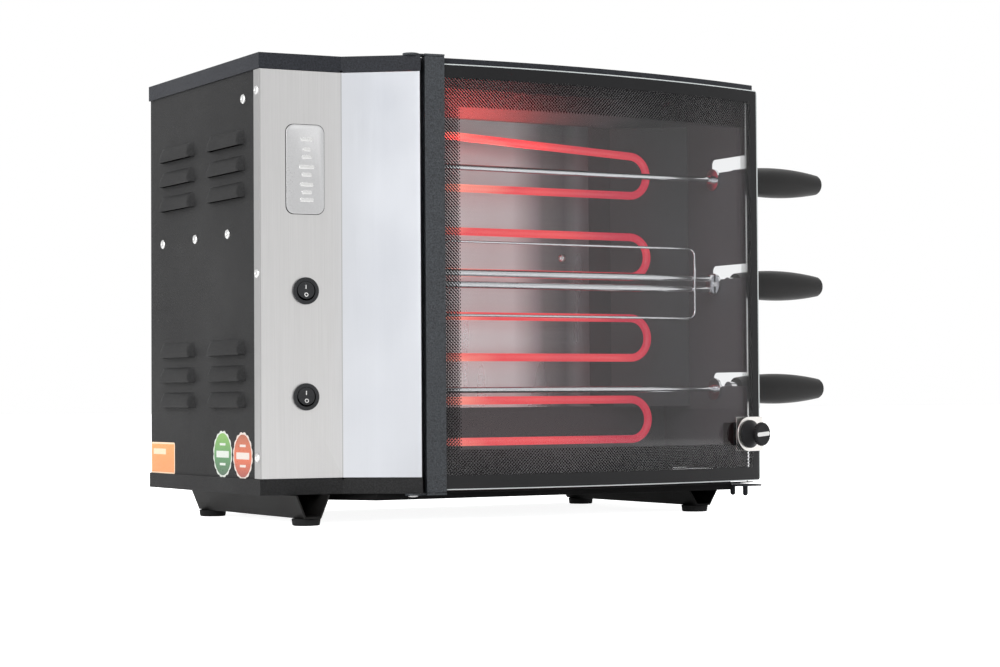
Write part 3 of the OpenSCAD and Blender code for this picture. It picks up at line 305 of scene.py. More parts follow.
plastics = {
    "switchPlastic": {"colour": (0.012, 0.013, 0.015), "gloss": 0.35, "rough": 0.28,
                      "grain": 900, "bump": 0.05},
    "knobPlastic": {"colour": (0.008, 0.008, 0.009), "gloss": 0.18, "rough": 0.36,
                    "grain": 1300, "bump": 0.08},
    "handlePlastic": {"colour": (0.013, 0.0126, 0.0126), "gloss": 0.26, "rough": 0.42,
                      "grain": 1600, "bump": 0.16},
    "rubberBlack": {"colour": (0.012, 0.012, 0.0125), "gloss": 0.25, "rough": 0.75,
                    "grain": 1200, "bump": 0.15},
    "gasketBlack": {"colour": (0.010, 0.010, 0.011), "gloss": 0.3, "rough": 0.6,
                    "grain": 1000, "bump": 0.08},
    "magnetPlastic": {"colour": (0.012, 0.012, 0.013), "gloss": 0.3, "rough": 0.4,
                      "grain": 1000, "bump": 0.08},
    "ceramicWhite": {"colour": (0.80, 0.77, 0.70), "gloss": 0.5, "rough": 0.42,
                     "grain": 600, "bump": 0.06},
    "gearNylon": {"colour": (0.74, 0.71, 0.60), "gloss": 0.5, "rough": 0.45,
                  "grain": 500, "bump": 0.05},
    "terminalNylon": {"colour": (0.80, 0.79, 0.75), "gloss": 0.5, "rough": 0.4,
                      "grain": 600, "bump": 0.05},
    "markWhite": {"colour": (0.78, 0.78, 0.77), "gloss": 0.5, "rough": 0.4,
                  "grain": 900, "bump": 0.04},
}
plasticWear = {"scale": 25.0, "dark": 0.85, "light": 1.2, "smoother": 0.05, "rougher": 0.07, "depth": 0.0003}


def plastic(name):
    look = plastics[name]
    f = Finish(name)
    fine = f.noise(look["grain"], 2.0, 0.6)
    broad = f.noise(plasticWear["scale"], 3.0, 0.6)
    dark, light = shade(look["colour"], plasticWear["dark"]), shade(look["colour"], plasticWear["light"])
    colour = f.mix(f.spread(broad, "upper", 0.0, 1.0), dark, light)
    rough = f.roughness(broad, look, plasticWear)
    normal = f.bump(fine, look["bump"], plasticWear["depth"])
    return f.done(f.body(colour=colour, rough=rough, normal=normal, gloss=look["gloss"]))


# Heaters glow most at their left ends, between these millimetres from the middle of the grill; the whitish glow at
# the left ends is painted glare
glow = {"cool": (0.50, 0.022, 0.055), "hot": (0.86, 0.065, 0.075), "glareWhite": (1.15, 0.42, 0.31), "level": 1.0,
        "leftX": -150.0, "rightX": 135.0, "fade": (0.1, 0.95), "stops": (0.0, 0.42, 0.60, 0.88),
        "patchScale": 14.0, "patchStretch": (0.5, 0.5, 2.2), "patchShare": 0.9,
        "coilScale": 160.0, "coilShare": 0.10, "coilShade": 0.8,
        "sheath": (0.16, 0.01, 0.012), "rough": (0.12, 0.25)}


def heaterGlow():
    f = Finish("heaterGlow")
    along = f.scaled(f.axes()[0], glow["leftX"], glow["rightX"], 0.0, 1.0)
    patches = f.noise(glow["patchScale"], 2.0, 0.5, glow["patchStretch"])
    coil = f.node("ShaderNodeTexWave", {"wave_type": "BANDS", "bands_direction": "X"}, {
        "Vector": f.place(), "Scale": glow["coilScale"], "Distortion": 1.2, "Detail": 1.0}, "Fac")
    heat = f.scaled(along + (patches - 0.5) * glow["patchShare"], *glow["fade"], 1.0, 0.0)
    # the whitish top of the ramp is painted glare at the heaters' left ends
    colour = f.ramp(heat, *zip(glow["stops"], (glow["cool"], glow["hot"], glow["hot"], glow["glareWhite"])))
    dark = shade(glow["cool"], glow["coilShade"])
    colour = f.mix(f.spread(coil, "wide", glow["coilShare"], 0.0), colour, dark)
    rough = f.spread(patches, "usual", *glow["rough"])
    return f.done(f.body(colour=glow["sheath"], rough=rough, glow=colour, glowStrength=glow["level"]))


# Black enamel round the glass: full to the first distance from an edge, dots over the second, in millimetres
frit = {"pitch": 3.0, "left": (0.0, 15.0), "right": (10.0, 9.0), "top": (11.5, 25.0), "bottom": (12.5, 22.0),
        "most": 0.92, "least": 0.68, "rimRight": 1.5, "rimEnds": 0.9, "rimFacing": 0.6}
# The glass is an arc in plan, round a middle behind the grill
arc = {"x": 278.07955, "y": 818.8067, "radius": 875.77686, "leftX": 151.5, "rightX": 498.8,
       "low": 28.2, "high": 394.2}
pane = {"clear": (0.93, 0.935, 0.94), "shine": (1.0, 1.0, 1.0), "shineRough": 0.015, "least": 0.03,
        "more": 0.97, "power": 5.0, "smearScale": 18.0,
        "enamel": ((0.006, 0.006, 0.007), (0.010, 0.010, 0.011)), "enamelRough": (0.04, 0.09), "enamelGloss": 0.22,
        "rim": ((0.46, 0.50, 0.50), (0.66, 0.69, 0.69)), "rimRough": 0.3, "rimGloss": 0.6}


def arcLength(x):
    return math.asin((x - arc["x"]) / arc["radius"]) * arc["radius"]


def enamelMask(f, along, z, inside):
    radius, solid = None, None
    for side, distance in inside.items():
        band, dots = frit[side]
        reach = f.scaled(distance, band, band + dots, frit["most"], frit["least"]) * distance.under(band + dots)
        radius = reach if radius is None else radius.larger(reach)
        full = distance.under(band)
        solid = full if solid is None else solid.larger(full)
    cells = []
    for shift in (0.0, 0.5):
        u = (along / frit["pitch"] + shift).part() - 0.5
        v = (z / frit["pitch"] + shift).part() - 0.5
        cells.append(u * u + v * v)
    nearest = (cells[0].smaller(cells[1]) ** 0.5) * frit["pitch"]
    return nearest.under(radius).larger(solid)


def doorGlass():
    f = Finish("doorGlass")
    x, y, z = f.axes()
    px = x + (plan["zeroX"] - arc["x"])
    py = (arc["y"] - plan["zeroY"]) - y
    along = px.maths("ARCTAN2", px, py) * arc["radius"]
    inside = {"left": along - arcLength(arc["leftX"]), "right": arcLength(arc["rightX"]) - along,
              "top": arc["high"] - z, "bottom": z - arc["low"]}
    clear = f.shader("ShaderNodeBsdfTransparent", {"Color": pane["clear"]})
    shine = f.shader("ShaderNodeBsdfGlossy", {"Color": pane["shine"], "Roughness": pane["shineRough"]})
    slant = f.node("ShaderNodeLayerWeight", {}, {"Blend": 0.5}, "Facing")
    window = f.mixShaders(pane["least"] + (slant ** pane["power"]) * pane["more"], clear, shine)
    smear = f.noise(pane["smearScale"], 3.0, 0.6)
    enamel = f.body(colour=f.mix(smear, *pane["enamel"]), rough=f.spread(smear, "usual", *pane["enamelRough"]),
                    gloss=pane["enamelGloss"])
    face = f.mixShaders(enamelMask(f, along, z, inside), window, enamel)
    outward = f.node("ShaderNodeNewGeometry", {}, {}, "True Normal")
    nx, ny = f.split(f.node("ShaderNodeVectorTransform", {
        "vector_type": "NORMAL", "convert_from": "WORLD", "convert_to": "OBJECT"}, {"Vector": outward}))[:2]
    facing = (nx * px - ny * py) / arc["radius"]
    ends = inside["top"].smaller(inside["bottom"]).under(frit["rimEnds"])
    edge = facing.size().under(frit["rimFacing"]).larger(inside["right"].under(frit["rimRight"])).larger(ends)
    rim = f.body(colour=f.mix(smear, *pane["rim"]), rough=pane["rimRough"], gloss=pane["rimGloss"])
    return f.done(f.mixShaders(edge, face, rim))


# Printed films on the side wall: colours from top to bottom, place and size in plan millimetres
films = {
    "orangeFilm": {"piece": "orange_film", "top": (0.78, 0.30, 0.06), "ground": (0.72, 0.25, 0.05),
                   "low": (0.70, 0.24, 0.05), "print": (0.85, 0.62, 0.42),
                   "y": 219.0, "z": 53.5, "wide": 57.0, "high": 29.0, "thick": 0.14, "corner": 2.5,
                   "border": 1.6, "blockY": 8.0, "blockZ": 6.0, "blockWide": 15.0, "blockHigh": 2.6},
    "greenFilm": {"piece": "green_film", "top": (0.20, 0.42, 0.06), "ground": (0.045, 0.20, 0.05),
                  "low": (0.010, 0.045, 0.022), "print": (0.62, 0.65, 0.60),
                  "y": 81.5, "z": 59.4, "radius": 20.6, "thick": 0.14},
    "redFilm": {"piece": "red_film", "top": (0.30, 0.075, 0.02), "ground": (0.62, 0.11, 0.03),
                "low": (0.22, 0.018, 0.012), "print": (0.66, 0.60, 0.55),
                "y": 38.5, "z": 58.6, "radius": 20.6, "thick": 0.14},
}
# The round films' print as shares of their radius, and their scalloped edge
seal = {"ring": 0.97, "ringWide": 0.08, "bar": 0.14, "barReach": 0.66, "line": 0.42, "lineHigh": 0.05,
        "lineWide": 0.3, "scallops": 16, "steps": 8, "wave": 1.3}
filmWear = {"grain": 700.0, "middle": 0.45, "share": 0.12, "shade": 0.8, "rough": (0.26, 0.36),
            "bump": 0.05, "depth": 0.0002, "wallX": 1.4}


def film(name):
    look = films[name]
    f = Finish(name)
    x, y, z = f.axes()
    dy = y - (look["y"] - plan["zeroY"])
    dz = z - look["z"]
    if "radius" in look:
        height = look["radius"]
        away = (dy * dy + dz * dz) ** 0.5
        ring = (away - seal["ring"] * height).size().under(seal["ringWide"] * height)
        bar = dz.size().under(seal["bar"] * height) * away.under(seal["barReach"] * height)
        lines = (dz.size() - seal["line"] * height).size().under(seal["lineHigh"] * height)
        light = ring.larger(bar).larger(lines * dy.size().under(seal["lineWide"] * height))
    else:
        height = look["high"] / 2
        edge = dy.size().over(look["wide"] / 2 - look["border"]).larger(dz.size().over(height - look["border"]))
        block = (dz - look["blockZ"]).size().under(look["blockHigh"])
        light = edge.larger(block * (dy - look["blockY"]).size().under(look["blockWide"]))
    fibres = f.noise(filmWear["grain"], 2.0, 0.6)
    rise = f.scaled(dz, -height, height, 0.0, 1.0)
    ground = f.ramp(rise, (0.0, look["low"]), (filmWear["middle"], look["ground"]), (1.0, look["top"]))
    colour = f.mix(light, ground, look["print"])
    dark = shade(look["ground"], filmWear["shade"])
    colour = f.mix(f.spread(fibres, "tight", 0.0, filmWear["share"]), colour, dark)
    rough = f.spread(fibres, "usual", *filmWear["rough"])
    normal = f.bump(fibres, filmWear["bump"], filmWear["depth"])
    return f.done(f.body(colour=colour, rough=rough, normal=normal))


# Tone across the reflector, darkening towards its angled wing, in millimetres from the middle of the grill to the
# right
reflectorTone = {"from": 10.0, "to": 100.0, "wingDarkX": 96.0, "wingDark": (0.042, 0.038, 0.043), "stops": [
    (0.0, (0.74, 0.70, 0.70)), (0.2, (0.46, 0.41, 0.42)), (0.38, (0.17, 0.15, 0.155)),
    (0.64, (0.08, 0.072, 0.075)), (0.8, (0.21, 0.195, 0.205)), (1.0, (0.19, 0.175, 0.185))],
    "smearScale": 8.0, "smearStretch": (1, 1, 0.25), "ragged": 6.0, "lineShare": 0.12, "lineShade": 0.5,
    "smearShare": 0.18, "smearShade": 0.4, "smoother": 0.05, "rougher": 0.08,
    "gloss": 0.3, "aniso": 0.9, "anisoTurn": 0.25}


def wingSteel():
    # polished sheet, metallic up to a line and dark and not metallic on its angled wing
    f = Finish("wingSteel")
    look = steels["reflectorSteel"]
    x = f.axes()[0]
    lines = f.brushed(look)
    smears = f.noise(reflectorTone["smearScale"], 3.0, 0.6, reflectorTone["smearStretch"])
    across = f.scaled(x + (smears - 0.5) * reflectorTone["ragged"], reflectorTone["from"], reflectorTone["to"], 0.0, 1.0)
    tone = f.ramp(across, *reflectorTone["stops"])
    lined, smeared = shade(look["colour"], reflectorTone["lineShade"]), shade(look["colour"], reflectorTone["smearShade"])
    colour = f.mix(f.spread(lines, "usual", 0.0, reflectorTone["lineShare"]), tone, lined)
    colour = f.mix(f.spread(smears, "top", 0.0, reflectorTone["smearShare"]), colour, smeared)
    metallicPart = x.under(reflectorTone["wingDarkX"])
    colour = f.mix(metallicPart, reflectorTone["wingDark"], colour)
    rough = f.roughness(smears, look, reflectorTone)
    normal = f.bump(lines, look["bump"], steelWear["lineDepth"])
    return f.done(f.body(colour=colour, rough=rough, metal=metallicPart, gloss=reflectorTone["gloss"], aniso=reflectorTone["aniso"],
                         anisoTurn=reflectorTone["anisoTurn"], normal=normal))


finishes = {name: coat(name) for name in coats}
finishes.update({name: steel(name) for name in steels})
finishes.update({name: plastic(name) for name in plastics})
finishes["heaterGlow"] = heaterGlow()
finishes["doorGlass"] = doorGlass()
finishes["wingSteel"] = wingSteel()
finishes.update({name: film(name) for name in films})
print("finishes made:", len(finishes))

wear = {
    "powderCoat": ["left_side_panel", "back_panel", "compartment_floor"],
    "panCoat": ["base_pan", "right_foot_bracket"],
    "skirtCoat": ["top_cover", "tray_pull"],
    "stileCoat": ["door_stile", "hinge_plates"],
    "footCoat": ["left_foot_bracket"],
    "innerCoat": ["right_wall", "chamber_partition", "chamber_rear_wall"],
    "trayEnamel": ["drip_tray"],
    "panelSteel": ["control_panel"],
    "wingSteel": ["rear_reflector"],
    "badgeSteel": ["badge_plate"],
    "rivetSteel": ["side_rivets", "panel_rivets", "reflector_screw", "hinge_screws"],
    "platedSteel": ["top_skewer", "middle_skewer", "bottom_skewer"],
    "clipSteel": ["knob_clip"],
    "zincSteel": ["hinge_pins", "gear_plate", "plate_standoffs", "idler_studs", "gear_motor", "tray_rails",
                  "top_spindle", "middle_spindle", "bottom_spindle"],
    "switchPlastic": ["upper_switch_body", "lower_switch_body", "upper_rocker", "lower_rocker"],
    "knobPlastic": ["knob_base", "door_knob"],
    "handlePlastic": ["top_handle", "middle_handle", "bottom_handle"],
    "rubberBlack": ["rubber_feet", "cord_gland"],
    "gasketBlack": ["door_gasket"],
    "magnetPlastic": ["door_magnet"],
    "ceramicWhite": ["heater_insulators"],
    "terminalBrass": ["heater_terminals"],
    "gearNylon": ["upper_idler", "lower_idler", "motor_pinion"],
    "bushBrass": ["spindle_bushes"],
    "terminalNylon": ["terminal_block", "door_bushes"],
    "heaterGlow": ["heater_1", "heater_2", "heater_3", "heater_4"],
    "doorGlass": ["door_glass"],
}
finishOf = {name: finish for finish, names in wear.items() for name in names}


def dress(thing, finish):
    thing.data.materials.clear()
    thing.data.materials.append(finishes[finish])


for name, finish in finishOf.items():
    dress(nodes[name], finish)
print("CAD nodes dressed; left:", sorted(set(nodes) - set(finishOf)))


def added(name, bm, finish, body, *instead, sharp=30.0):
    mesh = bpy.data.meshes.new(name)
    bm.to_mesh(mesh)
    bm.free()
    mesh.polygons.foreach_set("use_smooth", [True] * len(mesh.polygons))
    mesh.set_sharp_from_angle(angle=math.radians(sharp))
    thing = bpy.data.objects.new(name, mesh)
    bpy.context.scene.collection.objects.link(thing)
    dress(thing, finish)
    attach(thing, body)
    if instead:
        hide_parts(*instead)
    return thing


def moved(bm, matrix):
    bmesh.ops.transform(bm, matrix=matrix, verts=bm.verts)
    return bm


def joined(bm, other, matrix):
    step = bpy.data.meshes.new("step")
    moved(other, matrix).to_mesh(step)
    other.free()
    bm.from_mesh(step)
    bpy.data.meshes.remove(step)
    return bm


def spun(profile, steps=32):
    # a closed body turned round Z from (radius, height) points in millimetres
    bm = bmesh.new()
    verts = [bm.verts.new((r * plan["mm"], 0, h * plan["mm"])) for r, h in profile]
    edges = [bm.edges.new(pair) for pair in zip(verts, verts[1:])]
    bmesh.ops.spin(bm, geom=verts + edges, cent=(0, 0, 0), axis=(0, 0, 1), angle=math.tau, steps=steps,
                   use_merge=True)
    bmesh.ops.remove_doubles(bm, verts=bm.verts, dist=near["spun"])
    bmesh.ops.recalc_face_normals(bm, faces=bm.faces)
    return bm


def head(radius, height, profile, steps):
    return spun([(radius * r, height * h) for r, h in profile], steps)


def bevelled(bm, width, segments, edges):
    bmesh.ops.bevel(bm, geom=edges, offset=width * plan["mm"], offset_type="OFFSET", affect="EDGES",
                    segments=segments, profile=0.5, material=-1)
    return bm


def box(bm, wide, high, thick, place):
    size = Matrix.Diagonal((wide * plan["mm"], high * plan["mm"], thick * plan["mm"], 1))
    bmesh.ops.create_cube(bm, size=1.0, matrix=place @ size)
    return bm


def plate(wide, high, thick, corner, soft):
    # plate standing on Z = 0, with rounded corners and a softened front edge
    thickness = thick * plan["mm"]
    bm = box(bmesh.new(), wide, high, thick, Matrix.Translation((0, 0, thickness / 2)))
    if corner:
        upright = [e for e in bm.edges if abs(e.verts[0].co.z - e.verts[1].co.z) > thickness / 2]
        bevelled(bm, corner, 8, upright)
    if soft:
        top = max(v.co.z for v in bm.verts) - near["plane"]
        bevelled(bm, soft, 3, [e for e in bm.edges if min(v.co.z for v in e.verts) > top])
    return bm


# Each turns Z, the way out of a piece, to the way that a side of the grill faces
outLeft = Matrix(((0, 0, -1, 0), (-1, 0, 0, 0), (0, 1, 0, 0), (0, 0, 0, 1)))
outFront = Matrix.Rotation(math.radians(90), 4, "X")
outBack = Matrix.Rotation(math.radians(180), 4, "Z") @ outFront


def shifted(x, y, z):
    return Matrix.Translation(Vector((x, y, z)) * plan["mm"])


def placed(x, y, z, turn):
    return Matrix.Translation(at(x, y, z)) @ turn


# Bevels on the sheet edges and mouldings, width in millimetres
softEdges = {
    0.9: ["rubber_feet", "gear_motor"],
    0.7: ["upper_switch_body", "lower_switch_body", "door_magnet"],
    0.45: ["top_cover", "compartment_floor", "base_pan", "door_stile", "left_foot_bracket",
           "right_foot_bracket", "tray_pull"],
    0.35: ["hinge_plates", "upper_rocker", "lower_rocker", "terminal_block", "knob_base", "cord_gland"],
    0.3: ["control_panel", "knob_clip", "right_wall", "chamber_partition", "gear_plate", "drip_tray",
          "back_panel"],
}
softening = {"flat": 0.15, "angle": 35, "wide": 0.6, "wideSegments": 3, "segments": 2}


def soften(name, width):
    bm = bmesh.new()
    bm.from_mesh(nodes[name].data)
    bmesh.ops.remove_doubles(bm, verts=bm.verts, dist=near["sheet"])
    bmesh.ops.dissolve_limit(bm, angle_limit=math.radians(softening["flat"]), verts=bm.verts, edges=bm.edges)
    thing = added(name + "_soft", bm, finishOf[name], nodes[name]["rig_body"], name)
    bevel = thing.modifiers.new("bevel", "BEVEL")
    bevel.width = width * plan["mm"]
    bevel.segments = softening["wideSegments"] if width > softening["wide"] else softening["segments"]
    bevel.limit_method = "ANGLE"
    bevel.angle_limit = math.radians(softening["angle"])
    bevel.harden_normals = True
    even = thing.modifiers.new("even", "WEIGHTED_NORMAL")
    even.keep_sharp = True


for width, names in softEdges.items():
    for name in names:
        soften(name, width)
print("edges softened:", sum(len(names) for names in softEdges.values()))

# The wall with its twelve louvres, in plan millimetres; smoothArea is in square metres
leftWall = {
    "face": 1.4, "thick": 1.2, "front": 1.4, "back": 247.6, "low": 27.2, "high": 398.6, "smoothArea": 0.00002,
    "columns": [33.0, 143.0], "rows": [100.0, 280.0], "count": 3, "pitch": 22.6, "cuts": 23,
    "length": 76.0, "height": 13.6, "out": 5.0, "frontEnd": 12.0, "frontLeast": 0.25, "frontMore": 0.75,
    "rearEnd": 6.5, "rearLeast": 0.55, "rearMore": 0.9, "crown": 2.2, "crownRound": 0.8,
}


def held(share):
    return min(1.0, max(0.0, share))


def louvreRise(along, up):
    # share of the louvre's full height over the wall: slanted at the front end, rounded at the rear
    look = leftWall
    front = held(along / (look["frontEnd"] * (look["frontLeast"] + look["frontMore"] * up)))
    rear = held((look["length"] - along) / (look["rearEnd"] * (look["rearLeast"] + look["rearMore"] * up * up)))
    ends = front * front * (3 - 2 * front) * math.sin(rear * math.pi / 2)
    return ends * (1 - up ** look["crown"]) ** look["crownRound"]


def makeLeftWall():
    look = leftWall
    mm = plan["mm"]
    bm = bmesh.new()
    wide, tall = look["back"] - look["front"], look["high"] - look["low"]
    middle = placed(look["face"], look["front"] + wide / 2, look["low"] + tall / 2, outLeft)
    bmesh.ops.create_grid(bm, x_segments=1, y_segments=1, size=0.5,
                          matrix=middle @ Matrix.Diagonal((wide * mm, tall * mm, 1, 1)))
    heights = [z + i * look["pitch"] for z in look["rows"] for i in range(look["count"])]
    cuts = [(at(0, y, 0), (0, 1, 0)) for c in look["columns"] for y in (c, c + look["length"])]
    cuts += [(at(0, 0, z), (0, 0, 1)) for h in heights for z in (h, h + look["height"])]
    for point, normal in cuts:
        bmesh.ops.bisect_plane(bm, geom=bm.verts[:] + bm.edges[:] + bm.faces[:], dist=near["plane"],
                               plane_co=point, plane_no=normal)
    reach = near["plane"]
    for y, z in [(c, h) for c in look["columns"] for h in heights]:
        low, high = at(0, y, z), at(0, y + look["length"], z + look["height"])

        def within(co):
            return low.y - reach < co.y < high.y + reach and low.z - reach < co.z < high.z + reach

        face = [f for f in bm.faces if all(within(v.co) for v in f.verts)]
        bmesh.ops.subdivide_edges(bm, edges=list({e for f in face for e in f.edges}), cuts=look["cuts"],
                                  use_grid_fill=True)
        faces = [f for f in bm.faces if within(f.calc_center_median())]
        lip = {e for f in faces for e in f.edges if max(v.co.z for v in e.verts) < low.z + reach}
        bmesh.ops.split_edges(bm, edges=list(lip))
        for v in {v for f in faces for v in f.verts}:
            up = (v.co.z - low.z) / (look["height"] * mm)
            v.co.x -= look["out"] * mm * louvreRise((v.co.y - low.y) / mm, held(up))
    thing = added("left_wall_pressed", bm, "powderCoat", "cabinet", "left_side_panel", sharp=40)
    for f in thing.data.polygons:
        f.use_smooth = len(f.vertices) < 5 and f.area < look["smoothArea"]
    solid = thing.modifiers.new("sheet", "SOLIDIFY")
    solid.thickness = look["thick"] * mm
    solid.offset = -1.0
    print("left wall pressed:", len(thing.data.polygons), "faces")


makeLeftWall()

# Rivets: profile, rows and corner as shares, the rest in plan millimetres
rivets = {
    "radius": 4.3, "height": 1.75, "smallRadius": 4.0, "smallHeight": 1.6, "steps": 28,
    "profile": [(1, 0), (0.97, 0.4), (0.82, 0.8), (0.55, 1), (0.34, 1), (0.22, 0.7), (0, 0.66)],
    "sideX": 1.4, "panelX": 0.4, "panelY": 5.4, "panelZ": [57.7, 213.0, 368.3],
    "depth": 249, "feet": 26, "tall": 374, "rowUp": 0.6, "row": [0.277, 0.566, 0.8715],
    "cornerBack": 0.14, "cornerDown": 0.096,
}


def makeRivets():
    look = rivets
    side, panel = bmesh.new(), bmesh.new()
    rowZ = look["feet"] + look["tall"] * look["rowUp"]
    spots = [(look["depth"] * share, rowZ) for share in look["row"]]
    cornerZ = look["feet"] + look["tall"] - look["tall"] * look["cornerDown"]
    spots.append((look["depth"] * look["cornerBack"], cornerZ))
    for y, z in spots:
        rivet = head(look["radius"], look["height"], look["profile"], look["steps"])
        joined(side, rivet, placed(look["sideX"], y, z, outLeft))
    for z in look["panelZ"]:
        rivet = head(look["smallRadius"], look["smallHeight"], look["profile"], look["steps"])
        joined(panel, rivet, placed(look["panelX"], look["panelY"], z, outLeft))
    added("side_rivet_heads", side, "rivetSteel", "cabinet", "side_rivets")
    added("panel_rivet_heads", panel, "rivetSteel", "cabinet", "panel_rivets")


makeRivets()

facet = {"rise": 7.8, "run": 73.6, "along": 41.0, "in": 0.4}


def onFacet(x, y, z, turn=Matrix.Identity(4)):
    # x along the panel's left facet, y into the cabinet, z up
    facing = Matrix.Rotation(-math.atan2(facet["rise"], facet["run"]), 4, "Z")
    spot = facing @ (Vector((facet["along"] + x, facet["in"] + y, 0)) * plan["mm"])
    return Matrix.Translation(at(0, 0, 0) + spot + Vector((0, 0, z * plan["mm"]))) @ facing @ turn


badge = {
    "z": 302.0, "wide": 34.0, "high": 76.0, "thick": 1.15, "corner": 7.0, "rim": 2.4, "field": 0.55,
    "soft": 0.3, "softAngle": 0.5, "shadowOutlineOut": 0.9, "shadowOutlineThick": 0.2,
    "bars": [-26.0, -19.5, -13.0, -4.5, 2.0, 10.5, 17.0, 25.5],
    "barWide": [12.0, 9.0, 12.0, 9.0, 14.0, 9.0, 7.0, 11.0],
    "barHigh": 3.6, "barLess": 0.1, "barCorner": 1.1, "barSoft": 0.3, "barX": 1.5,
}


def makeBadge():
    look = badge
    relief = plate(look["wide"], look["high"], look["thick"], look["corner"], 0)
    front = [f for f in relief.faces if f.normal.z > 0.9]
    for depth in (0, -look["field"] * plan["mm"]):
        bmesh.ops.inset_region(relief, faces=front, thickness=look["rim"] * plan["mm"] * 0.5, depth=depth)
    sharp = [e for e in relief.edges if len(e.link_faces) == 2 and e.calc_face_angle(0) > look["softAngle"]]
    bevelled(relief, look["soft"], 3, sharp)
    bars = bmesh.new()
    for middle, wide in zip(look["bars"], look["barWide"]):
        bar = plate(wide, look["barHigh"], look["thick"] - look["barLess"], look["barCorner"], look["barSoft"])
        joined(bars, bar, shifted(look["barX"], middle, 0))
    # a dark plate just larger than the badge: a painted shadow gap round it
    wide, high = look["wide"] + look["shadowOutlineOut"], look["high"] + look["shadowOutlineOut"]
    shadowOutline = plate(wide, high, look["shadowOutlineThick"], look["corner"], 0)
    for part in (relief, bars, shadowOutline):
        moved(part, onFacet(0, 0, look["z"], outFront))
    # the relief takes the darker badge steel and the bars the brighter rivet steel: painted shade on the recessed
    # field and painted highlight on the bars
    added("badge_relief", relief, "badgeSteel", "cabinet", "badge_plate")
    added("badge_bars", bars, "rivetSteel", "cabinet")
    added("badge_shadow_outline", shadowOutline, "gasketBlack", "cabinet")


makeBadge()

# The bar on the rocker's raised half and the ring on its pressed half
switches = {"heights": {"upper": 198.6, "lower": 108.7}, "pivot": 3.0, "face": 4.6, "sunk": 0.04, "tilt": 14.0,
            "off": 3.4, "barWide": 0.7, "barHigh": 3.4, "ringOut": 1.75, "ringIn": 1.15, "ringDown": 1.1,
            "thick": 0.14}


def makeMarks():
    look = switches
    front = look["sunk"] - look["face"]
    inner, outer, thick = look["ringIn"], look["ringOut"], look["thick"]
    lean = Matrix.Rotation(math.radians(-look["tilt"]), 4, "X")
    tilted = shifted(0, look["pivot"], 0) @ lean @ shifted(0, front, -look["off"] - look["ringDown"])
    for name, z in look["heights"].items():
        bm = plate(look["barWide"], look["barHigh"], thick, 0, 0)
        moved(bm, onFacet(0, look["pivot"] + front, z + look["off"], outFront))
        ring = spun([(inner, 0), (inner, thick), (outer, thick), (outer, 0)])
        joined(bm, ring, onFacet(0, 0, z) @ tilted @ outFront)
        added(name + "_rocker_marks", bm, "markWhite", name + "_rocker")


makeMarks()

# The knob's front edge is a list of steps in from its radius and down from its front
knob = {
    "radius": 11.0, "back": 14.5, "thick": 4.5, "chamfer": (1.2, 0.9), "dish": 0.35,
    "edge": [(0, 1.5), (0.5, 0.7), (1.6, 0.25), (3.2, 0.35)], "in": 16.8, "z": 71.7,
    "flutes": 26, "fluteSteps": 4, "fluteRim": 1.3, "depth": 0.45,
    "pillWide": 17.5, "pillHigh": 3.8, "pillThick": 0.35, "pillLess": 0.05, "pillSoft": 0.06, "pillSunk": 0.4,
    "pillTurn": 4.0,
}


def onDoor(out):
    turn = math.asin((arc["rightX"] - knob["in"] - arc["x"]) / arc["radius"])
    x, y = arc["x"] + arc["radius"] * math.sin(turn), arc["y"] - arc["radius"] * math.cos(turn)
    return placed(x, y, knob["z"], Matrix.Rotation(turn, 4, "Z")) @ outFront @ shifted(0, 0, out)


def makeKnob():
    look = knob
    r, t = look["radius"], look["thick"]
    back = [(0, 0), (r - look["chamfer"][0], 0), (r, look["chamfer"][1])]
    front = [(r - inward, t - down) for inward, down in look["edge"]] + [(0, t - look["dish"])]
    bm = spun(back + front, look["flutes"] * look["fluteSteps"])
    for v in bm.verts:
        reach = v.co.xy.length
        if reach > (r - look["fluteRim"]) * plan["mm"]:
            wave = 0.5 - 0.5 * math.cos(look["flutes"] * math.atan2(v.co.y, v.co.x))
            v.co.xy = v.co.xy * (1 - look["depth"] * plan["mm"] * wave / reach)
    added("knob_disc", moved(bm, onDoor(look["back"])), "knobPlastic", "door", "door_knob")
    corner = look["pillHigh"] / 2 - look["pillLess"]
    pill = plate(look["pillWide"], look["pillHigh"], look["pillThick"], corner, look["pillSoft"])
    turn = Matrix.Rotation(math.radians(look["pillTurn"]), 4, "Z")
    added("knob_inlay", moved(pill, onDoor(look["back"] + t - look["pillSunk"]) @ turn), "markWhite", "door")


makeKnob()


def makeFilms():
    for finish, look in films.items():
        if "radius" in look:
            bm = bmesh.new()
            bmesh.ops.create_circle(bm, cap_ends=True, segments=seal["scallops"] * seal["steps"],
                                    radius=look["radius"] * plan["mm"])
            for v in bm.verts:
                wave = abs(math.sin(seal["scallops"] / 2 * math.atan2(v.co.y, v.co.x)))
                v.co.xy = v.co.xy * (1 - seal["wave"] / look["radius"] * (1 - wave))
            up = bmesh.ops.extrude_face_region(bm, geom=bm.faces[:])["geom"]
            bmesh.ops.translate(bm, vec=(0, 0, look["thick"] * plan["mm"]),
                                verts=[v for v in up if isinstance(v, bmesh.types.BMVert)])
            bmesh.ops.recalc_face_normals(bm, faces=bm.faces)
        else:
            bm = plate(look["wide"], look["high"], look["thick"], look["corner"], 0)
        moved(bm, placed(filmWear["wallX"], look["y"], look["z"], outLeft))
        added(look["piece"], bm, finish, "cabinet")


makeFilms()

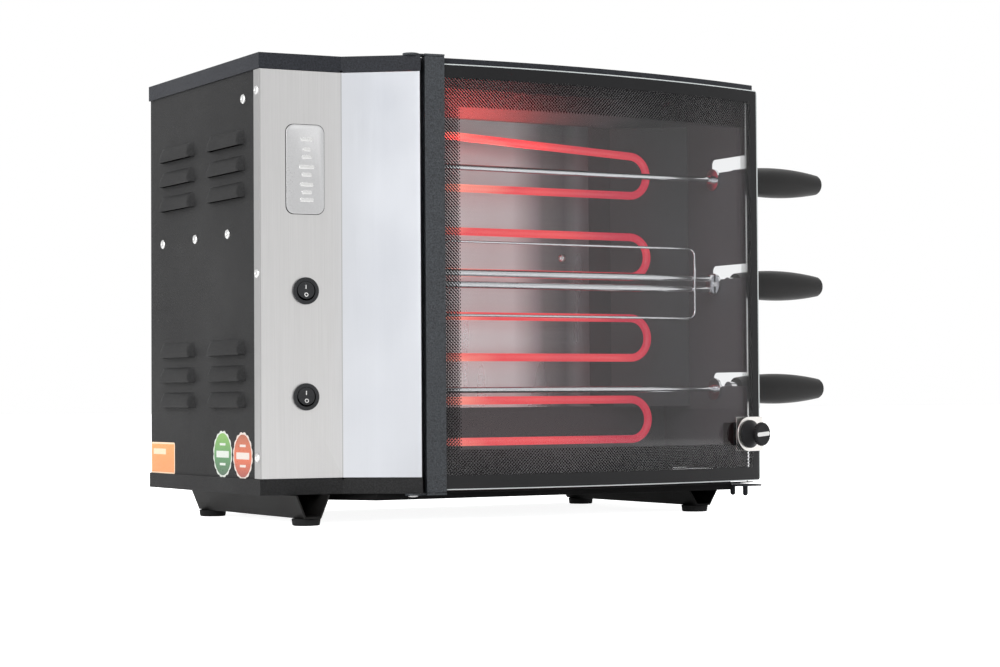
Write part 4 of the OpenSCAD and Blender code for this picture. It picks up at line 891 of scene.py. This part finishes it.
# Screw heads have a profile and a cross of two raised bars, as shares of their radius and height
backDetails = {
    "face": 247.6, "screwRadius": 4.0, "screwHeight": 1.3, "steps": 32,
    "profile": [(1, 0), (0.96, 0.45), (0.78, 0.86), (0.4, 1), (0, 1)],
    "crossLong": 1.1, "crossWide": 0.2, "crossThick": 0.3, "crossUp": 0.88,
    "sides": (12.0, 486.0), "between": (170.0, 328.0), "low": 42.0, "high": 376.0,
    "plateX": 330.0, "plateZ": 320.0, "plateWide": 90.0, "plateHigh": 50.0, "plateThick": 0.6,
    "plateCorner": 4.0, "plateSoft": 0.25,
}


def screwHead():
    look = backDetails
    radius, height = look["screwRadius"], look["screwHeight"]
    bm = head(radius, height, look["profile"], look["steps"])
    for turn in (0.0, math.pi / 2):
        long, wide, thick = radius * look["crossLong"], radius * look["crossWide"], height * look["crossThick"]
        bar = box(bmesh.new(), long, wide, thick, Matrix.Rotation(turn, 4, "Z"))
        joined(bm, bar, shifted(0, 0, height * look["crossUp"]))
    return bm


def makeBackDetails():
    look = backDetails
    low, high = look["low"], look["high"]
    spots = [(x, z) for x in look["sides"] for z in (low, (low + high) / 2, high)]
    spots += [(x, z) for x in look["between"] for z in (low, high)]
    screws = bmesh.new()
    for x, z in spots:
        joined(screws, screwHead(), placed(x, look["face"], z, outBack))
    added("back_screws", screws, "rivetSteel", "cabinet")
    bm = plate(look["plateWide"], look["plateHigh"], look["plateThick"], look["plateCorner"], look["plateSoft"])
    moved(bm, placed(look["plateX"], look["face"], look["plateZ"], outBack))
    added("back_plate_blank", bm, "badgeSteel", "cabinet")


makeBackDetails()
print("pieces made")

# The studio is in metres; its camera is the one fitted to the photo
studio = {
    "floorColour": (0.86, 0.86, 0.86), "floorGlow": 0.92, "floorMirrored": 0.33, "floorSize": 30.0,
    "worldLevel": 0.62, "seenLevel": 1.0, "spread": 180.0,
    "lens": 82.91, "sensor": 36.0, "clip": (0.05, 100.0),
    "eye": (-1.10436, -1.87141, 0.10670), "yaw": 0.5279, "pitch": 0.028, "roll": -0.0065,
}
lamps = [
    {"name": "keyLamp", "place": (-2.7, -1.7, 1.3), "aim": (0, 0, 0.2), "size": 1.6, "power": 60,
     "mirrored": True},
    {"name": "fillLamp", "place": (2.6, -2.4, 1.4), "aim": (0, 0, 0.2), "size": 1.8, "power": 26,
     "mirrored": False},
    {"name": "topLamp", "place": (0.2, 0.4, 3.0), "aim": (0, 0, 0.2), "size": 2.4, "power": 40,
     "mirrored": True},
    {"name": "rearLamp", "place": (-1.9, 1.9, 1.5), "aim": (-0.3, 0, 0.25), "size": 0.7, "power": 42,
     "mirrored": False},
    {"name": "heaterGlowTop", "place": (-0.075, -0.04, 0.345), "aim": (-0.06, 0.03, 0.42), "size": 0.16,
     "power": 1.5, "mirrored": False, "colour": (1.0, 0.10, 0.08), "spread": 125.0},
]
# A grey card that the control panel mirrors
flag = {"place": (-1.75, -1.98, 0.35), "aim": (0.15, 0.0, 0.25), "width": 1.3, "height": 1.6,
        "colour": (0.55, 0.57, 0.62)}


def rays(f):
    path = f.tree.nodes.new("ShaderNodeLightPath")
    return [Wire(f, path.outputs[name]) for name in ("Is Camera Ray", "Is Glossy Ray", "Is Transmission Ray")]


def floorFinish():
    f = Finish("studioFloor")
    seen, mirrored, passed = rays(f)
    plain = f.shader("ShaderNodeBsdfDiffuse", {"Color": studio["floorColour"], "Roughness": 0.5})
    share = (seen * studio["floorGlow"]).larger(mirrored.larger(passed) * studio["floorMirrored"])
    light = f.shader("ShaderNodeEmission", {"Color": (1, 1, 1), "Strength": share})
    return f.done(f.shader("ShaderNodeAddShader", {0: plain, 1: light}))


def flagFinish():
    f = Finish("studioFlag")
    return f.done(f.shader("ShaderNodeBsdfDiffuse", {"Color": flag["colour"]}))


def worldFinish():
    f = Finish("studioWorld", bpy.data.worlds.new("studioWorld"), "ShaderNodeOutputWorld")
    seen, mirrored, passed = rays(f)
    shown = seen.larger(mirrored).larger(passed)
    level = f.scaled(shown, 0.0, 1.0, studio["worldLevel"], studio["seenLevel"])
    return f.done(f.shader("ShaderNodeBackground", {"Color": (1, 1, 1), "Strength": level}))


def turned(place, aim):
    way = (Vector(aim) - Vector(place)).normalized()
    return Matrix.Translation(place) @ way.to_track_quat("-Z", "Y").to_matrix().to_4x4()


def sheet(name, wide, high, finish, place=Matrix.Identity(4)):
    bm = bmesh.new()
    bmesh.ops.create_grid(bm, x_segments=1, y_segments=1, size=0.5, matrix=Matrix.Diagonal((wide, high, 1, 1)))
    mesh = bpy.data.meshes.new(name)
    bm.to_mesh(mesh)
    bm.free()
    mesh.materials.append(finish)
    thing = bpy.data.objects.new(name, mesh)
    thing.matrix_world = place
    bpy.context.scene.collection.objects.link(thing)
    return thing


def makeStudio():
    floor = sheet("studioFloor", studio["floorSize"], studio["floorSize"], floorFinish())
    for lamp in lamps:
        data = bpy.data.lights.new(lamp["name"], "AREA")
        data.size = lamp["size"]
        data.energy = lamp["power"]
        data.color = lamp.get("colour", (1, 1, 1))
        data.spread = math.radians(lamp.get("spread", studio["spread"]))
        light = bpy.data.objects.new(lamp["name"], data)
        light.visible_glossy = lamp["mirrored"]
        light.matrix_world = turned(lamp["place"], lamp["aim"])
        bpy.context.scene.collection.objects.link(light)
    card = sheet("studioFlag", flag["width"], flag["height"], flagFinish(), turned(flag["place"], flag["aim"]))
    card.visible_camera = False
    bpy.context.scene.world = worldFinish()


def makeCamera():
    yaw, pitch, roll = studio["yaw"], studio["pitch"], studio["roll"]
    ahead = Vector((math.sin(yaw) * math.cos(pitch), math.cos(yaw) * math.cos(pitch), math.sin(pitch)))
    right = Vector((math.cos(yaw), -math.sin(yaw), 0))
    up = right.cross(ahead)
    side = right * math.cos(roll) + up * math.sin(roll)
    top = up * math.cos(roll) - right * math.sin(roll)
    data = bpy.data.cameras.new("photoCamera")
    data.lens = studio["lens"]
    data.sensor_width = studio["sensor"]
    data.clip_start, data.clip_end = studio["clip"]
    camera = bpy.data.objects.new("photoCamera", data)
    camera.matrix_world = Matrix.Translation(studio["eye"]) @ Matrix((side, top, -ahead)).transposed().to_4x4()
    bpy.context.scene.collection.objects.link(camera)
    bpy.context.scene.camera = camera


makeStudio()
makeCamera()
bpy.context.scene.view_settings.view_transform = "Standard"
print("studio ready")
